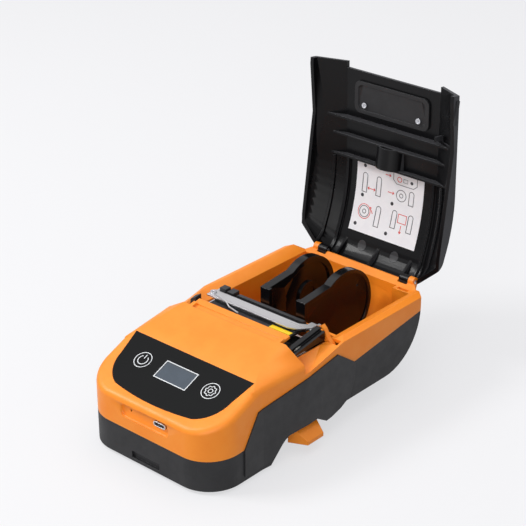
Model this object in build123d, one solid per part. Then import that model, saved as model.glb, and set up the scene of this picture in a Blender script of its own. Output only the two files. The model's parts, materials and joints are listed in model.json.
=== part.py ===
from build123d import *
import math
import os

# Portable label printer with a hinged lid, shown open. Millimetres, X right, Y to the back, Z up.
# The origin is on the table, below the middle of the case.

# Case
case_front = -90.0
case_back = 90.0
case_half = 50.0          # half width from the shelf to the back
nose_half = 47.0          # half width at the front corners
nose_widens_from = -52.0
nose_widens_to = -20.0
corner_radius = 20.0
back_corner = 13.0        # chamfer at the back corners
wall = 2.2
fit = 0.25                # gap between moulded pieces
foot_height = 2.0         # the shell stands this high on its rubber feet
middle_half = 35.0        # the flat middle of the underside ends here
heel_center = (51.0, 41.0)
heel_radius = 39.0
side_floor = 15.5         # the underside's height at the sides
front_block_end = -46.0
arch_slope = 12.0
side_heel_center = (46.5, 46.5)
side_heel_radius = 31.0
heel_flats = 12           # the round heel is drawn in this many short flats
sky = 80.0                # above everything in the case

# Nose
panel_pivot = (-52.7, 52.0)
panel_slope = 0.419
top_pivot = (-44.5, 55.4)
top_slope = 0.176
flank_pivot = (36.9, -21.7, 59.2)
flank_fall = 0.60
flank_rise = 0.12
nose_step = -22.0         # behind it the rim and the shelf begin
lip_back = -14.2
lip_half = 32.6
lip_drop = 0.9
groove_half = 29.7
groove_front = -22.8
groove_back = -18.5
groove_depth = 1.6
exit_slot = 1.2
edge_round = 4.0          # around the nose's top
widening_start = -58.0    # the widening block of the nose reaches this far into the straight one
panel_film_depth = 0.5
film_points = [(42.2, -52.8), (39.4, -67.0), (35.8, -77.0), (27.0, -83.4), (0.0, -85.6)]

# Rim and shelf
rim_inner = (39.4, 50.5)
rim_crest = (46.0, 54.0)
rim_outer = 52.8
shelf_low = (-18.0, 46.7)
shelf_high = (13.0, 53.9)
shelf_inner = 40.6

# Seam between the orange and the dark shell, as heights along the side
seam_front = 19.5
seam = [(-66.0, 20.5), (-55.4, 38.1), (4.0, 47.6), (18.6, 37.1), (77.7, 44.6)]
panel_skin = 0.8          # the side panels stand this proud of the case
panel_outline_low = [(18.4, 26.8), (14.7, 17.8), (7.1, 13.9), (-0.6, 11.8), (-5.0, 11.3), (-12.7, 16.1),
                     (-33.8, 15.2), (-36.9, 13.4), (-46.2, 5.2), (-56.8, 4.9)]

# Roll bay
tub_wall = 2.0
roll_center = (53.0, 43.4)
trough_radius = 30.0
bay_front = 16.0
bay_back = 84.0
trough_lip = 10.0         # degrees above level where the trough's round ends

# Roll guides, their racks and the pinion between them
guide_inner = 11.0
guide_thick = 5.0
guide_travel = 20.0
disc_radius = 23.1
guide_rim = 2.2
guide_recess = 1.0
rack_module = 0.8
rack_teeth = 12
rack_height = 3.0
rack_floor = 6.4
rack_back = 2.4
post_depth = 4.0
rack_pin_radius = 1.2

# Teeth: half width as a share of the pitch, and reach from the pitch line in modules
tooth_tip = (0.13, 0.8)
tooth_root = (0.31, 1.15)

# Lid, drawn closed and turned open at the end
open_angle = 98.0
hinge = (90.0, 53.0)
hinge_pin_radius = 1.0
knuckle_radius = 2.6
knuckle_inner = 26.8
ear_inner = 33.0
ear_outer = 36.5
running_gap = 0.05
lid_front = -18.0
horn_front = -21.7
lid_wall = 2.2
lid_edge_wall = 1.6       # upright thickness along the lid's side edges
ceiling_half = 33.0
lid_slope = 0.1573        # of the lid's straight stretch, up to the bend
lid_bend = 36.0
ceiling_rise = 70.2       # heights at the bend
edge_rise = 60.8
crown_flats = 8           # the crown and the back bend are drawn in short flats
back_flats = 6
lid_rim = 54.3

# Print mechanism
platen_center = (-14.0, 48.5)
platen_radius = 5.5
platen_half = 30.0
shaft_radius = 2.0
frame_inner = 33.0
frame_wall = 1.5
frame_front = -32.0
frame_back = 9.0
frame_base = 8.0
bush_radius = 3.2
gear_module = 0.6
gear_start = 35.6
gear_width = 3.0
platen_teeth = 20
idler_teeth = 32
motor_teeth = 12
idler_angle = -79.0       # from the platen towards the idler
pinion_angle = -120.0     # from the idler towards the motor pinion
motor_radius = 9.0
motor_length = 15.0
head_pivot = (4.0, 56.0)
head_pin_radius = 1.0

# Land, shelf and openings around the mechanism
land_inner = 35.0
land_back = -1.0
land_gap = 0.8
rim_side = 47.4
cavity_joins = 42.0
fence_top = 53.0
panel_seat = 1.0          # how deep the side panels sit in the case

# Latch
latch_pivot = (44.2, 32.0)
latch_pin_radius = 1.0
latch_plate = (43.2, 45.2)
latch_front = -24.0
latch_back = 8.0
spring_room = 3.4
fin_front = 5.6
fin_back = 8.4
fin_reach = (36.6, 45.2)
pocket = (41.2, -29.0, -7.0, 18.0)   # inner side, front, back and roof
latch_tab_back = -10.0
tab_low = 5.5

# Lid details
lid_notch = lip_half + fit
hook_relief = 1.3
long_rib_depth = 1.6

# Lid switch
plunger_spot = (-40.3, -8.8)
plunger_half = 2.1
plunger_foot = 47.9

# Inside
bracket_level = 58.0
bracket_screw_spot = (-32.4, -2.8)
heat_base = 55.2
wire_radius = 0.45
frame_post_x = 28.0
board_post = (33.0, -68.0)
board_level = 28.2
board_thick = 1.6
inlet_span = (5.8, 14.7)
board_half = 34.0
front_screw = (38.0, -57.0)
back_screw = (30.0, 28.0)
screw_boss = 14.0
door_half = 30.0
door_front = -82.0
door_hinge = (-42.0, 3.8)
door_pin_radius = 0.8
arm_front = 17.6
arm_top_front = 60.3
guide_foot = 19.4
rack_reach = 24.0


def face_of(points):
    return make_face(Polyline(*points, close=True))


def slab_x(points, low, high):
    # an outline in Y and Z, carried along X
    return extrude(Plane.YZ.offset(low) * face_of(points), high - low)


def slab_y(points, low, high):
    # an outline in X and Z, carried along Y
    return extrude(Plane.XZ.offset(-high) * face_of(points), high - low)


def slab_z(points, low, high):
    # an outline in X and Y, carried along Z
    return extrude(Plane.XY.offset(low) * face_of(points), high - low)


def block(x_low, x_high, y_low, y_high, z_low, z_high):
    middle = ((x_low + x_high) / 2, (y_low + y_high) / 2, (z_low + z_high) / 2)
    return Pos(*middle) * Box(x_high - x_low, y_high - y_low, z_high - z_low)


def rod_x(center, radius, low, high):
    return Plane.YZ.offset(low) * Pos(*center) * extrude(Circle(radius), high - low)


def rod_y(center, radius, low, high):
    return Plane.XZ.offset(-high) * Pos(*center) * extrude(Circle(radius), high - low)


def rod_z(center, radius, low, high):
    return Pos(center[0], center[1], low) * extrude(Circle(radius), high - low)


def stud_z(center, radius, low, high, sides=8):
    # a small round piece with flats, for what is hidden or tiny
    return Pos(center[0], center[1], low) * extrude(RegularPolygon(radius, sides), high - low)


def mirrored(shape):
    return mirror(shape, Plane.YZ)


def both(shape):
    return shape + mirrored(shape)


def case_plan(inset):
    # the case seen from above
    right = [(nose_half, case_front), (nose_half, nose_widens_from), (case_half, nose_widens_to),
             (case_half, case_back - back_corner + 1), (case_half - back_corner - 1, case_back)]
    left = [(-x, y) for x, y in reversed(right)]
    face = face_of(right + left)
    face = fillet(face.vertices().sort_by(Axis.Y)[:2], corner_radius)
    return offset(face, -inset, kind=Kind.INTERSECTION) if inset else face


def underside(x, inset, middle):
    # the case's length section with its round heel
    center, radius = (heel_center, heel_radius - inset) if middle else (side_heel_center, side_heel_radius - inset)
    points = [(case_front + inset, sky), (case_front + inset, center[1] - radius)]
    for number in range(heel_flats + 1):
        turn = math.radians(90.0 * number / heel_flats - 90.0)
        points.append((center[0] + radius * math.cos(turn), center[1] + radius * math.sin(turn)))
    points.append((center[0] + radius, sky))
    return Plane.YZ.offset(x) * face_of(points)


def front_block(inset):
    # the deep block under the nose, cut off in a slope behind
    start = front_block_end - 0.449 * inset
    low = foot_height + inset
    return slab_x([(case_front + inset, sky), (case_front + inset, low), (start, low),
                   (start + arch_slope, side_floor + inset), (start + arch_slope, sky)], -case_half, case_half)


def hull(inset):
    stations = [(-case_half, False), (-middle_half, True), (middle_half, True), (case_half, False)]
    return loft([underside(x, inset, middle) for x, middle in stations], ruled=True) + front_block(inset)


def lower(shape, origin, normal):
    return shape.split(Plane(origin=origin, z_dir=normal), keep=Keep.BOTTOM)


def under_roof(shape, drop):
    # panel plane in front, nose top behind it and a flank plane on each side
    shape = lower(shape, (0, panel_pivot[0], panel_pivot[1] - drop), (0, -panel_slope, 1))
    shape = lower(shape, (0, top_pivot[0], top_pivot[1] - drop), (0, -top_slope, 1))
    for side in (-1, 1):
        x, y, z = flank_pivot
        shape = lower(shape, (side * x, y, z - drop), (side * flank_fall, -flank_rise, 1))
    return shape


def rim_prism(drop):
    # the rim rises outward to a crest, then falls to the side
    right = [(rim_inner[0], rim_inner[1] - drop), (rim_crest[0], rim_crest[1] - drop),
             (case_half, rim_outer - drop), (case_half, 0)]
    left = [(-x, z) for x, z in reversed(right)]
    return slab_y(right + left, nose_step, case_back)


def lid_height(x, y):
    # the closed lid's outer height on its front straight stretch
    share = max(0.0, (x - ceiling_half) / (case_half - ceiling_half))
    return ceiling_rise + (edge_rise - ceiling_rise) * share + lid_slope * (y - lid_bend)


def lid_under(x, y):
    # the closed lid's inner height on the same stretch
    start = ceiling_half - 0.6
    share = max(0.0, (x - start) / (case_half - lid_wall - start))
    ceiling = ceiling_rise - lid_wall
    return ceiling + (edge_rise - lid_edge_wall - ceiling) * share + lid_slope * (y - lid_bend)


def land_section(y, far):
    # between the land's surface, just below the closed lid, and a level far above or below it
    edge = case_half - 1.5
    reach = lip_half - 0.5
    return Plane.XZ.offset(-y) * face_of([(-edge, far), (-edge, lid_under(edge, y) - land_gap),
                                          (-reach, lid_under(reach, y) - land_gap), (-reach, far)])


def left_land():
    # the land on the left of the mechanism
    return loft([land_section(nose_step, cavity_joins), land_section(land_back, cavity_joins)], ruled=True)


def above_land():
    return loft([land_section(nose_step, sky), land_section(land_back + 3.5, sky)], ruled=True)


def land_room():
    # the space under the land
    edge = rim_side - wall
    outer_top = lid_under(edge, nose_step) - land_gap - wall - 1.0
    inner_top = lid_under(land_inner + wall, nose_step) - land_gap - wall - 1.0
    return slab_y([(-edge, 30), (-edge, outer_top), (-land_inner - wall, inner_top), (-land_inner - wall, 30)],
                  nose_step, land_back - wall)


def case_solid(inset):
    body = extrude(case_plan(inset), sky) & hull(inset)
    nose = body & block(-60, 60, case_front, nose_step - inset, 0, sky)
    nose = under_roof(nose, inset * 1.06) if inset else round_nose()
    neck = body & block(-lip_half + inset, lip_half - inset, nose_step - 2 * inset - 1, lip_back - inset, 0, sky)
    neck = lower(neck, (0, top_pivot[0], top_pivot[1] - inset), (0, -top_slope, 1))
    rear = body & (rim_prism(inset) + back_rise(inset))
    solid = nose + neck + rear
    if inset:
        solid = solid + (body & block(-60, 60, nose_step - 3 * inset, nose_step + inset, 0, cavity_joins))
    return solid


def wall_half(y):
    # half width of the case where it widens
    share = (y - nose_widens_from) / (nose_widens_to - nose_widens_from)
    return nose_half + (case_half - nose_half) * share


def round_nose():
    # a straight and a widening block, each with its top edges rounded, above the plain foot of the nose
    nose = extrude(case_plan(0), sky) & hull(0) & block(-60, 60, case_front, nose_step, 0, seam_front)
    front = face_of([(-nose_half, nose_step), (-nose_half, case_front), (nose_half, case_front), (nose_half, nose_step)])
    front = fillet(front.vertices().sort_by(Axis.Y)[:2], corner_radius)
    start, end = wall_half(widening_start), wall_half(nose_step)
    back = face_of([(-end, nose_step), (-start, widening_start), (start, widening_start), (end, nose_step)])
    for plan, joint in ((front, case_front - 1), (back, widening_start)):
        piece = under_roof(Pos(0, 0, seam_front) * extrude(plan, sky - seam_front), 0)
        nose = nose + fillet(top_edges(piece, joint), edge_round)
    return nose


def top_edges(piece, joint):
    # the edges between the outer walls and the roof
    walls = [face for face in piece.faces() if abs(face.normal_at().Z) < 0.01 and abs(face.center().Y - joint) > 0.1
             and abs(face.center().Y - nose_step) > 0.1]
    edges = []
    for wall_face in walls:
        for edge in wall_face.edges():
            if (edge @ 0.5).Z > seam_front + 5 and abs((edge % 0.5).Z) < 0.9:
                edges.append(edge)
    return edges


def back_rise(drop):
    # the rim behind the roll bay rises to the back
    return slab_x([(bay_back, 40), (bay_back, rim_inner[1] - drop), (case_back - 1.5, rim_outer + 0.2 - drop),
                   (case_back, rim_outer - 0.4 - drop), (case_back, 40)], -rim_inner[0] - 1, rim_inner[0] + 1)


def below_seam(shift=0.0):
    points = [(case_front - 5, seam_front + shift), (seam[0][0], seam[0][1] + shift)]
    points += [(y, z + shift) for y, z in seam[1:]]
    points += [(case_back + 5, seam[-1][1] + 1.4 + shift), (case_back + 5, -5), (case_front - 5, -5)]
    return slab_x(points, -60, 60)


def panel_outline():
    # the side panel as a full slab across the case
    return slab_x([(seam[0][0], 4.9)] + seam[:4] + panel_outline_low, -60, 60)


def panel_zone(grow):
    # everything outside the seat of the side panels, up to their proud faces
    return extrude(grown_plan(grow), sky) - extrude(case_plan(panel_seat), sky)


def grown_plan(grow):
    right = [(nose_half + grow, case_front + 2), (nose_half + grow, nose_widens_from),
             (case_half + grow, nose_widens_to), (case_half + grow, case_back - back_corner)]
    left = [(-x, y) for x, y in reversed(right)]
    return face_of(right + left)


def side_panel(side):
    skin = panel_outline() & panel_zone(panel_skin)
    return skin & (block(0, 60, -100, 100, 0, sky) if side > 0 else block(-60, 0, -100, 100, 0, sky))


def trough(radius_extra, half):
    # the roll bay's bed: a round trough with a sloped front wall
    radius = trough_radius + radius_extra
    angle = math.radians(trough_lip)
    reach = radius * math.cos(angle)
    rise = roll_center[1] - radius * math.sin(angle)
    front = (roll_center[0] - reach, rise)
    back = (roll_center[0] + reach, rise)
    bottom = (roll_center[0], roll_center[1] - radius)
    line = Polyline(back, (bay_back + radius_extra, roll_center[1] + 0.6), (bay_back + radius_extra, sky),
                    (bay_front - radius_extra, sky), (bay_front - radius_extra, 46.0), front)
    arc = ThreePointArc(front, bottom, back)
    return extrude(Plane.YZ.offset(-half) * make_face([line, arc]), 2 * half)


def top_case():
    whole = case_solid(0)
    shell = whole - case_solid(wall)
    bed = trough(tub_wall, rim_inner[0] + tub_wall) & hull(wall + fit)
    bed = bed & block(-60, 60, 0, case_back, 0, rim_inner[1])
    bosses = Compound([stud_z(spot, 3.4, screw_boss, sky) for spot in screw_spots()]) & case_solid(1.0)
    shell = shell + (left_land() & whole) + (shelf_floor() & whole) - above_land() - land_room() - below_seam()
    shell = shell + bed + bosses - trough(0, rim_inner[0]) + corner_post()
    shell = shell - mechanism_bay() - throat() - shelf_space()
    shell = shell - lip_relief() - label_groove() - panel_recess() - inlet_recess()
    shell = shell + hinge_ears() - hinge_room() - latch_slot() - guide_slots()
    return shell - plunger_post(plunger_half + fit, 40, 60) - case_screws()


def corner_post():
    # hollow square post in the roll bay's rear right corner
    post = block(28.0, rim_inner[0] + 0.5, 80.0, bay_back + 0.5, 29.0, rim_inner[1])
    post = post - (below_seam() - (extrude(case_plan(wall + fit), sky) & hull(wall + fit)))
    return post - block(30.2, 37.4, 81.4, bay_back - 0.6, 40.0, sky)


def mechanism_bay():
    bay = block(-land_inner + fit, rim_inner[0], lip_back, bay_front - tub_wall, 30, sky)
    bay = bay + block(land_inner - fit, rim_inner[0], nose_step, lip_back + 1, 30, sky)
    return bay + block(-rim_inner[0], 0, land_back, bay_front - tub_wall, 30, sky)


def throat():
    # the way under the lip, where the mechanism reaches into the nose
    low = 41.0
    start = nose_step - wall - 0.4
    end = lip_back + 1
    return slab_x([(start, low), (end, low), (end, nose_top(end) - wall - 0.2), (start, nose_top(start) - wall - 0.2)],
                  -land_inner + fit, land_inner - fit)


def shelf_line(depth):
    return [(nose_step - 0.01, shelf_low[1] - 0.4 - depth), (shelf_low[0], shelf_low[1] - depth),
            (shelf_high[0], shelf_high[1] - depth)]


def shelf_floor():
    # the sloping shelf on the right, with the low wall towards the mechanism
    floor = slab_x(shelf_line(wall) + [(shelf_high[0], shelf_high[1]), (nose_step, shelf_low[1])],
                   rim_inner[0], case_half)
    fence = block(rim_inner[0], shelf_inner, nose_step, fin_front - 1, 42, fence_top)
    left = slab_x(shelf_line(wall) + [(shelf_high[0], shelf_high[1]), (nose_step, shelf_low[1])],
                  -case_half, -rim_side + wall)
    return floor + fence + left


def shelf_space():
    # leaves room for the closed lid's sides
    outline = shelf_line(0) + [(shelf_high[0], sky), (nose_step - 0.01, sky)]
    return slab_x(outline, shelf_inner, case_half + 1) + slab_x(outline, -case_half - 1, -rim_side)


def lip_relief():
    # the lip behind the groove is lower, so that the closed lid's edge lies over it
    return slab_x([(groove_back, nose_top(groove_back) - lip_drop), (lip_back + 1, nose_top(lip_back + 1) - lip_drop),
                   (lip_back + 1, sky), (groove_back, sky)], -lip_half - 0.5, lip_half + 0.5)


def nose_top(y):
    return top_pivot[1] + top_slope * (y - top_pivot[0])


def panel_top(y):
    return panel_pivot[1] + panel_slope * (y - panel_pivot[0])


def label_groove():
    floor_front = nose_top(groove_front) - groove_depth
    floor_back = nose_top(groove_back) - lip_drop - 0.6
    dip = slab_x([(groove_front, floor_front), (groove_back, floor_back), (groove_back, sky), (groove_front, sky)],
                 -groove_half, groove_half)
    slot = block(-groove_half + 1.5, groove_half - 1.5, groove_front, groove_front + exit_slot, 50, sky)
    return dip + slot


def film_outline(grow=0.0):
    # straight back edge and sides, round front corners
    back, waist, corner, low, front = [(x + grow, y - grow) for x, y in film_points]
    back = (back[0], back[1] + 2 * grow)
    side = Polyline((-waist[0], waist[1]), (-back[0], back[1]), back, waist)
    bend = ThreePointArc(waist, corner, low)
    nose = ThreePointArc(low, (0, front[1]), (-low[0], low[1]))
    other = ThreePointArc((-low[0], low[1]), (-corner[0], corner[1]), (-waist[0], waist[1]))
    return make_face([side, bend, nose, other])


def panel_layer(low, high, grow=0.0, outline=None):
    # a layer parallel to the panel plane, between two depths below it
    outline = outline or film_outline(grow)
    tall = extrude(Plane.XY * outline, sky)
    above = slab_x([(-95, panel_top(-95) - low), (-40, panel_top(-40) - low), (-40, sky), (-95, sky)], -60, 60)
    under = slab_x([(-95, panel_top(-95) - high), (-40, panel_top(-40) - high), (-40, 0), (-95, 0)], -60, 60)
    return tall - above - under


def panel_recess():
    recess = panel_layer(-8, panel_film_depth, 0.1)
    window = panel_layer(-8, 6, outline=face_of([(-12.2, -72.6), (12.2, -72.6), (12.2, -59.8), (-12.2, -59.8)]))
    return recess + window


def inlet_recess():
    # shallow recess in the nose's front with the charging inlet and a pin hole
    recess = block(-17.2, 17.2, case_front - 1, case_front + 1.6, 26.5, 34.0)
    recess = fillet(recess.edges().filter_by(Axis.Y), 2.6)
    low = board_level + board_thick - 0.2
    inlet = block(inlet_span[0], inlet_span[1], case_front, case_front + wall + 1, low, low + 3.2)
    inlet = fillet(inlet.edges().filter_by(Axis.Y), 1.5)
    return recess + inlet + rod_y((-10.9, 31.0), 0.7, case_front, case_front + wall + 1)


def hinge_ears():
    ear = rod_x(hinge, knuckle_radius, ear_inner, ear_outer)
    root = slab_x([(case_back - wall, 46.5), (case_back + 0.4, 46.5), (hinge[0] + 2.5, hinge[1] - 0.6),
                   (hinge[0] - 2.5, hinge[1])], ear_inner, ear_outer)
    return both(ear + root)


def hinge_room():
    notch = block(knuckle_inner - 0.4, ear_inner, bay_back + tub_wall + 0.3, case_back + 4, 46.5, 62)
    bore = rod_x(hinge, hinge_pin_radius, knuckle_inner - 0.6, ear_outer + 1)
    return both(notch + bore)


def latch_slot():
    return block(fin_reach[0] - 0.6, fin_reach[1] + 3.4, fin_front - 0.5, fin_back + 0.5, 40, sky)


def guide_slots():
    reach = guide_inner + guide_thick + guide_travel + fit
    low = guide_inner - fit
    front = block(-reach, -low, *post_span(-1, fit), 9, 20)
    back = block(low, reach, *post_span(1, fit), 9, 20)
    return front + back


def rack_line():
    return rack_module * rack_teeth / 2


def post_span(side, gap=0.0):
    # where a guide's post stands along the case: the left one in front of the pinion, the right one behind
    near = roll_center[0] + side * (rack_line() + tooth_root[1] * rack_module + 0.4)
    far = near + side * post_depth
    return min(near, far) - gap, max(near, far) + gap


def bottom_case():
    whole = case_solid(0)
    shell = ((whole - case_solid(wall)) & below_seam()) - throat()
    shell = shell + (inner_posts() & whole & below_seam())
    shell = shell - (panel_outline() & panel_zone(10.0))
    shell = shell - battery_door_room() - latch_pocket() - finger_slot()
    return shell - latch_pin() - battery_cover_pin() - case_screws(fit)


def finger_slot():
    return block(-10, 10, case_front - 1, case_front + 1.4, 4.0, 8.0)


def inner_posts():
    # bosses and lugs that carry the board, the frame, the rack pinion, the door and the latch
    floor = foot_height + 1
    pieces = [stud_z((0, roll_center[0]), 3.0, floor, rack_floor - 0.2)]
    for x in (-frame_post_x, frame_post_x):
        for y in (frame_front + 4, frame_back - 5):
            pieces.append(stud_z((x, y), 2.4, floor, frame_base))
    for x in (-board_post[0], board_post[0]):
        pieces.append(stud_z((x, board_post[1]), 2.4, floor, board_level))
    for x, y in screw_spots():
        pieces.append(stud_z((x, y), 3.4, floor, screw_boss))
    for side in (-1, 1):
        low, high = post_span(side)
        near = roll_center[0] + side * (rack_line() + tooth_root[1] * rack_module)
        rail = sorted((near, near + side * rack_back))
        pieces.append(block(-36, 36, rail[0], rail[1], floor, rack_floor - 0.2))
    low = door_hinge[0] - 1.8
    for side in (-1, 1):
        x = side * (door_half + 2.0)
        pieces.append(block(x - 1.9, x + 1.9, low, low + 5, foot_height, door_hinge[1] + 1.8))
    for y in (latch_front - 2.2, latch_back + 0.2):
        pieces.append(block(latch_plate[0] - 1, case_half, y, y + 2.0, latch_pivot[1] - 3, latch_pivot[1] + 3))
    pieces.append(block(pocket[0] - 1.6, case_half, pocket[1] - 1.6, pocket[2] + 1.6, 0, pocket[3] + 1.6))
    posts = pieces[0]
    for piece in pieces[1:]:
        posts = posts + piece
    return posts


def battery_door_room():
    return block(-door_half, door_half, door_front, door_hinge[0] + 1.9, 0, foot_height + wall + 1)


def battery_cover():
    plate = block(-door_half + fit, door_half - fit, door_front + fit, door_hinge[0], foot_height, foot_height + wall)
    plate = fillet(plate.edges().filter_by(Axis.Z).sort_by(Axis.Y)[:2], 3)
    cover = plate + rod_x(door_hinge, 1.6, -door_half + fit, door_half - fit)
    for x in (-20, 0, 20):
        cover = cover + block(x - 0.6, x + 0.6, door_front + 4, door_hinge[0] - 3, foot_height + wall,
                              foot_height + wall + 0.8)
    grip = block(-9, 9, door_front + 2, door_front + 3.2, foot_height, foot_height + 0.6)
    return cover - grip - rod_x(door_hinge, door_pin_radius + running_gap, -door_half, door_half)


def battery_cover_pin():
    return rod_x(door_hinge, door_pin_radius, -door_half - 2.5, door_half + 2.5)


def latch_pocket():
    # the finger tab hangs in a pocket under the right side, and the lever passes through its roof
    return block(pocket[0], 60, pocket[1], pocket[2], 0, pocket[3]) + block(
        pocket[0], latch_plate[1] + 0.6, latch_front - 0.2, latch_tab_back, 0, pocket[3] + 5)


def latch_pin():
    return rod_y(latch_pivot, latch_pin_radius, latch_front - 2.2, latch_back + 2.2)


def latch_lever():
    # hook above the shelf, plate behind the side wall, barrel on the pin, finger tab below the case
    low, high = latch_plate
    plate = slab_x([(latch_front, pocket[3] - 2), (latch_tab_back - 0.4, pocket[3] - 2), (latch_tab_back, 28),
                    (latch_back, 29), (latch_back, 46), (latch_back - 3.4, 46), (latch_back - 5, 35),
                    (latch_front, 35)], low, high)
    barrel = rod_y(latch_pivot, 2.4, latch_front, latch_back)
    inner, outer = fin_reach
    fin = slab_y([(low, 44), (high, 44), (outer, 50.4), (42.0, 53.2), (39.4, 58.0), (inner + 0.9, 59.9),
                  (inner, 59.2), (inner + 1.9, 57.9), (inner + 2.1, 52.6), (low, 47.6)], fin_front, fin_back)
    tab = loft([tab_section(low, 0.0), tab_section(low + 11.0, 1.0)], ruled=True)
    lever = plate + barrel + fin + tab - rod_y(latch_pivot, 3.6, latch_front - 5, latch_front + spring_room)
    return lever - rod_y(latch_pivot, latch_pin_radius + running_gap, latch_front - 5, latch_back + 5)


def tab_section(x, share):
    front = pocket[1] + 1.2 + 3.5 * share
    back = pocket[2] - 1.2 - 3.5 * share
    top = pocket[3] - 1.4 - 8.0 * share
    low = tab_low + 1.0 * share
    return Plane.YZ.offset(x) * face_of([(front, low), (back, low), (back, top), (front, top)])


def latch_spring():
    # torsion spring wound on the pin in front of the barrel
    start = latch_front + 0.3
    coil = rod_y(latch_pivot, 2.0, start, start + spring_room - 0.8)
    return coil - rod_y(latch_pivot, latch_pin_radius + 0.1, latch_front - 5, latch_back)


def roll_guide(side):
    # disc with a sloping arm: raised rim outside, teardrop recess and hub inside
    y, z = roll_center
    outer = guide_inner + guide_thick
    plate = guide_profile(0, guide_inner, outer)
    lip = block(guide_inner - 1.4, outer, arm_front, arm_front + 2.6, 46.6, arm_top_front)
    dish = guide_profile(guide_rim, outer - guide_recess, outer + 1)
    drop = rod_x((y, z), disc_radius - 3.4, guide_inner - 1, guide_inner + 1.2)
    drop = drop + slab_x([(y - 21, z + 12.4), (y - 6, z + 18.4), (y, z), (y - 16, z - 9.6)], guide_inner - 1,
                         guide_inner + 1.2)
    hub = rod_x((y, z), 8.0, guide_inner, guide_inner + 2)
    ring = rod_x((y, z), 5.5, guide_inner - 0.5, guide_inner + 0.6)
    pin_hole = rod_x((y + 11.4, z + 10.4), 0.9, outer - guide_recess - 1.2, outer + 1)
    foot = block(guide_inner + 0.3, outer - 0.3, *post_span(side), guide_foot, guide_foot + 5)
    body = plate + lip - (drop - hub) - ring - dish - pin_hole + foot
    return body if side > 0 else mirrored(body)


def guide_profile(inset, low, high):
    # the side outline of a guide, drawn in by the inset
    y, z = roll_center
    disc = rod_x(roll_center, disc_radius - inset, low, high)
    arm = slab_x([(arm_front + inset, arm_top_front - inset), (y - 11.4, z + 19.1 - inset), (y, z + 6),
                  (y - 20.0 + inset, z - 10.9 + inset), (arm_front + inset, 46.6 + inset)], low, high)
    return disc + arm


def guide_rack(side):
    # toothed bar under the bay's floor with a post that carries the guide
    pitch = math.pi * rack_module
    line = roll_center[0] + side * rack_line()
    root = line + side * tooth_root[1] * rack_module
    tip = line - side * tooth_tip[1] * rack_module
    low, high = sorted((root, root + side * rack_back))
    end = guide_inner + guide_thick - 0.6
    bar = block(-rack_reach, end, low, high, rack_floor, rack_floor + rack_height)
    post = block(guide_inner + 0.6, end, *post_span(side), rack_floor + rack_height, guide_foot)
    rack = bar + post
    for number in range(-int(rack_reach / pitch), int(guide_inner / pitch)):
        x = (number + 0.5) * pitch
        tooth = [(x - tooth_root[0] * pitch, root + side * 0.1), (x - tooth_tip[0] * pitch, tip),
                 (x + tooth_tip[0] * pitch, tip), (x + tooth_root[0] * pitch, root + side * 0.1)]
        rack = rack + slab_z(tooth, rack_floor, rack_floor + rack_height)
    return rack if side > 0 else mirrored(rack)


def rack_pinion():
    outline = gear_outline(rack_teeth, rack_module, 90.0)
    wheel = slab_z([(x, y + roll_center[0]) for x, y in outline], rack_floor, rack_floor + rack_height)
    return wheel - rod_z((0, roll_center[0]), rack_pin_radius + running_gap, 0, 20)


def rack_pin():
    head = rod_z((0, roll_center[0]), 2.2, rack_floor + rack_height + 0.1, rack_floor + rack_height + 0.9)
    return head + rod_z((0, roll_center[0]), rack_pin_radius, rack_floor - 0.2, rack_floor + rack_height + 0.5)


def gear_outline(teeth, module, phase):
    # straight-flanked teeth with a little backlash, the first one centred at the phase angle
    radius = module * teeth / 2
    pitch = 360.0 / teeth
    points = []
    for number in range(teeth):
        middle = phase + number * pitch
        for share, reach in ((-tooth_root[0], -tooth_root[1]), (-tooth_tip[0], tooth_tip[1]), tooth_tip,
                             (tooth_root[0], -tooth_root[1])):
            angle = math.radians(middle + share * pitch)
            distance = radius + reach * module
            points.append((distance * math.cos(angle), distance * math.sin(angle)))
    return points


def gear(center, teeth, phase, bore):
    outline = gear_outline(teeth, gear_module, phase)
    wheel = slab_x([(center[0] + y, center[1] + z) for y, z in outline], gear_start, gear_start + gear_width)
    return wheel - rod_x(center, bore, gear_start - 1, gear_start + gear_width + 1)


def step_from(center, teeth, other, angle):
    reach = gear_module * (teeth + other) / 2
    turn = math.radians(angle)
    return center[0] + reach * math.cos(turn), center[1] + reach * math.sin(turn)


def idler_center():
    return step_from(platen_center, platen_teeth, idler_teeth, idler_angle)


def pinion_center():
    return step_from(idler_center(), idler_teeth, motor_teeth, pinion_angle)


def idler_phase():
    # a tooth of the platen gear points at the idler, so a gap of the idler points back
    return idler_angle + 180.0 + 180.0 / idler_teeth


def pinion_phase():
    # the idler's nearest tooth, carried over the mesh in the ratio of the teeth
    pitch = 360.0 / idler_teeth
    offset = (idler_phase() - pinion_angle + pitch / 2) % pitch - pitch / 2
    return pinion_angle + 180.0 - offset * idler_teeth / motor_teeth + 180.0 / motor_teeth


def mech_frame():
    # folded steel frame with two side plates
    outline = [(frame_front, frame_base), (frame_back, frame_base), (frame_back, 58.0), (0.6, 58.0),
               (0.6, 53.0), (frame_front + 6, 53.0), (frame_front, 44.0)]
    plate = slab_x(outline, frame_inner, frame_inner + frame_wall)
    window = slab_x([(-2.0, 16), (frame_back - 4, 16), (frame_back - 4, 44), (-2.0, 44)], 0, 60)
    plate = plate - window - rod_x(platen_center, bush_radius, 0, 60)
    plate = plate - rod_x(head_pivot, head_pin_radius, 0, 60)
    frame = both(plate) + block(-frame_inner, frame_inner, frame_front, frame_back, frame_base, frame_base + frame_wall)
    frame = frame - rod_x(pinion_center(), 2.6, frame_inner - 1, frame_inner + 3)
    frame = frame - rod_x(idler_center(), 1.5, frame_inner - 1, frame_inner + 3)
    rear = block(-frame_inner, frame_inner, frame_back - frame_wall, frame_back, frame_base, 46)
    x, y = bracket_screw_spot
    tab = block(-frame_inner - frame_wall, x + 2.2, y - 2.2, 2.0, bracket_level - 1.0, bracket_level)
    return frame + rear + tab - rod_z(bracket_screw_spot, 1.0, 50, 70)


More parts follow.
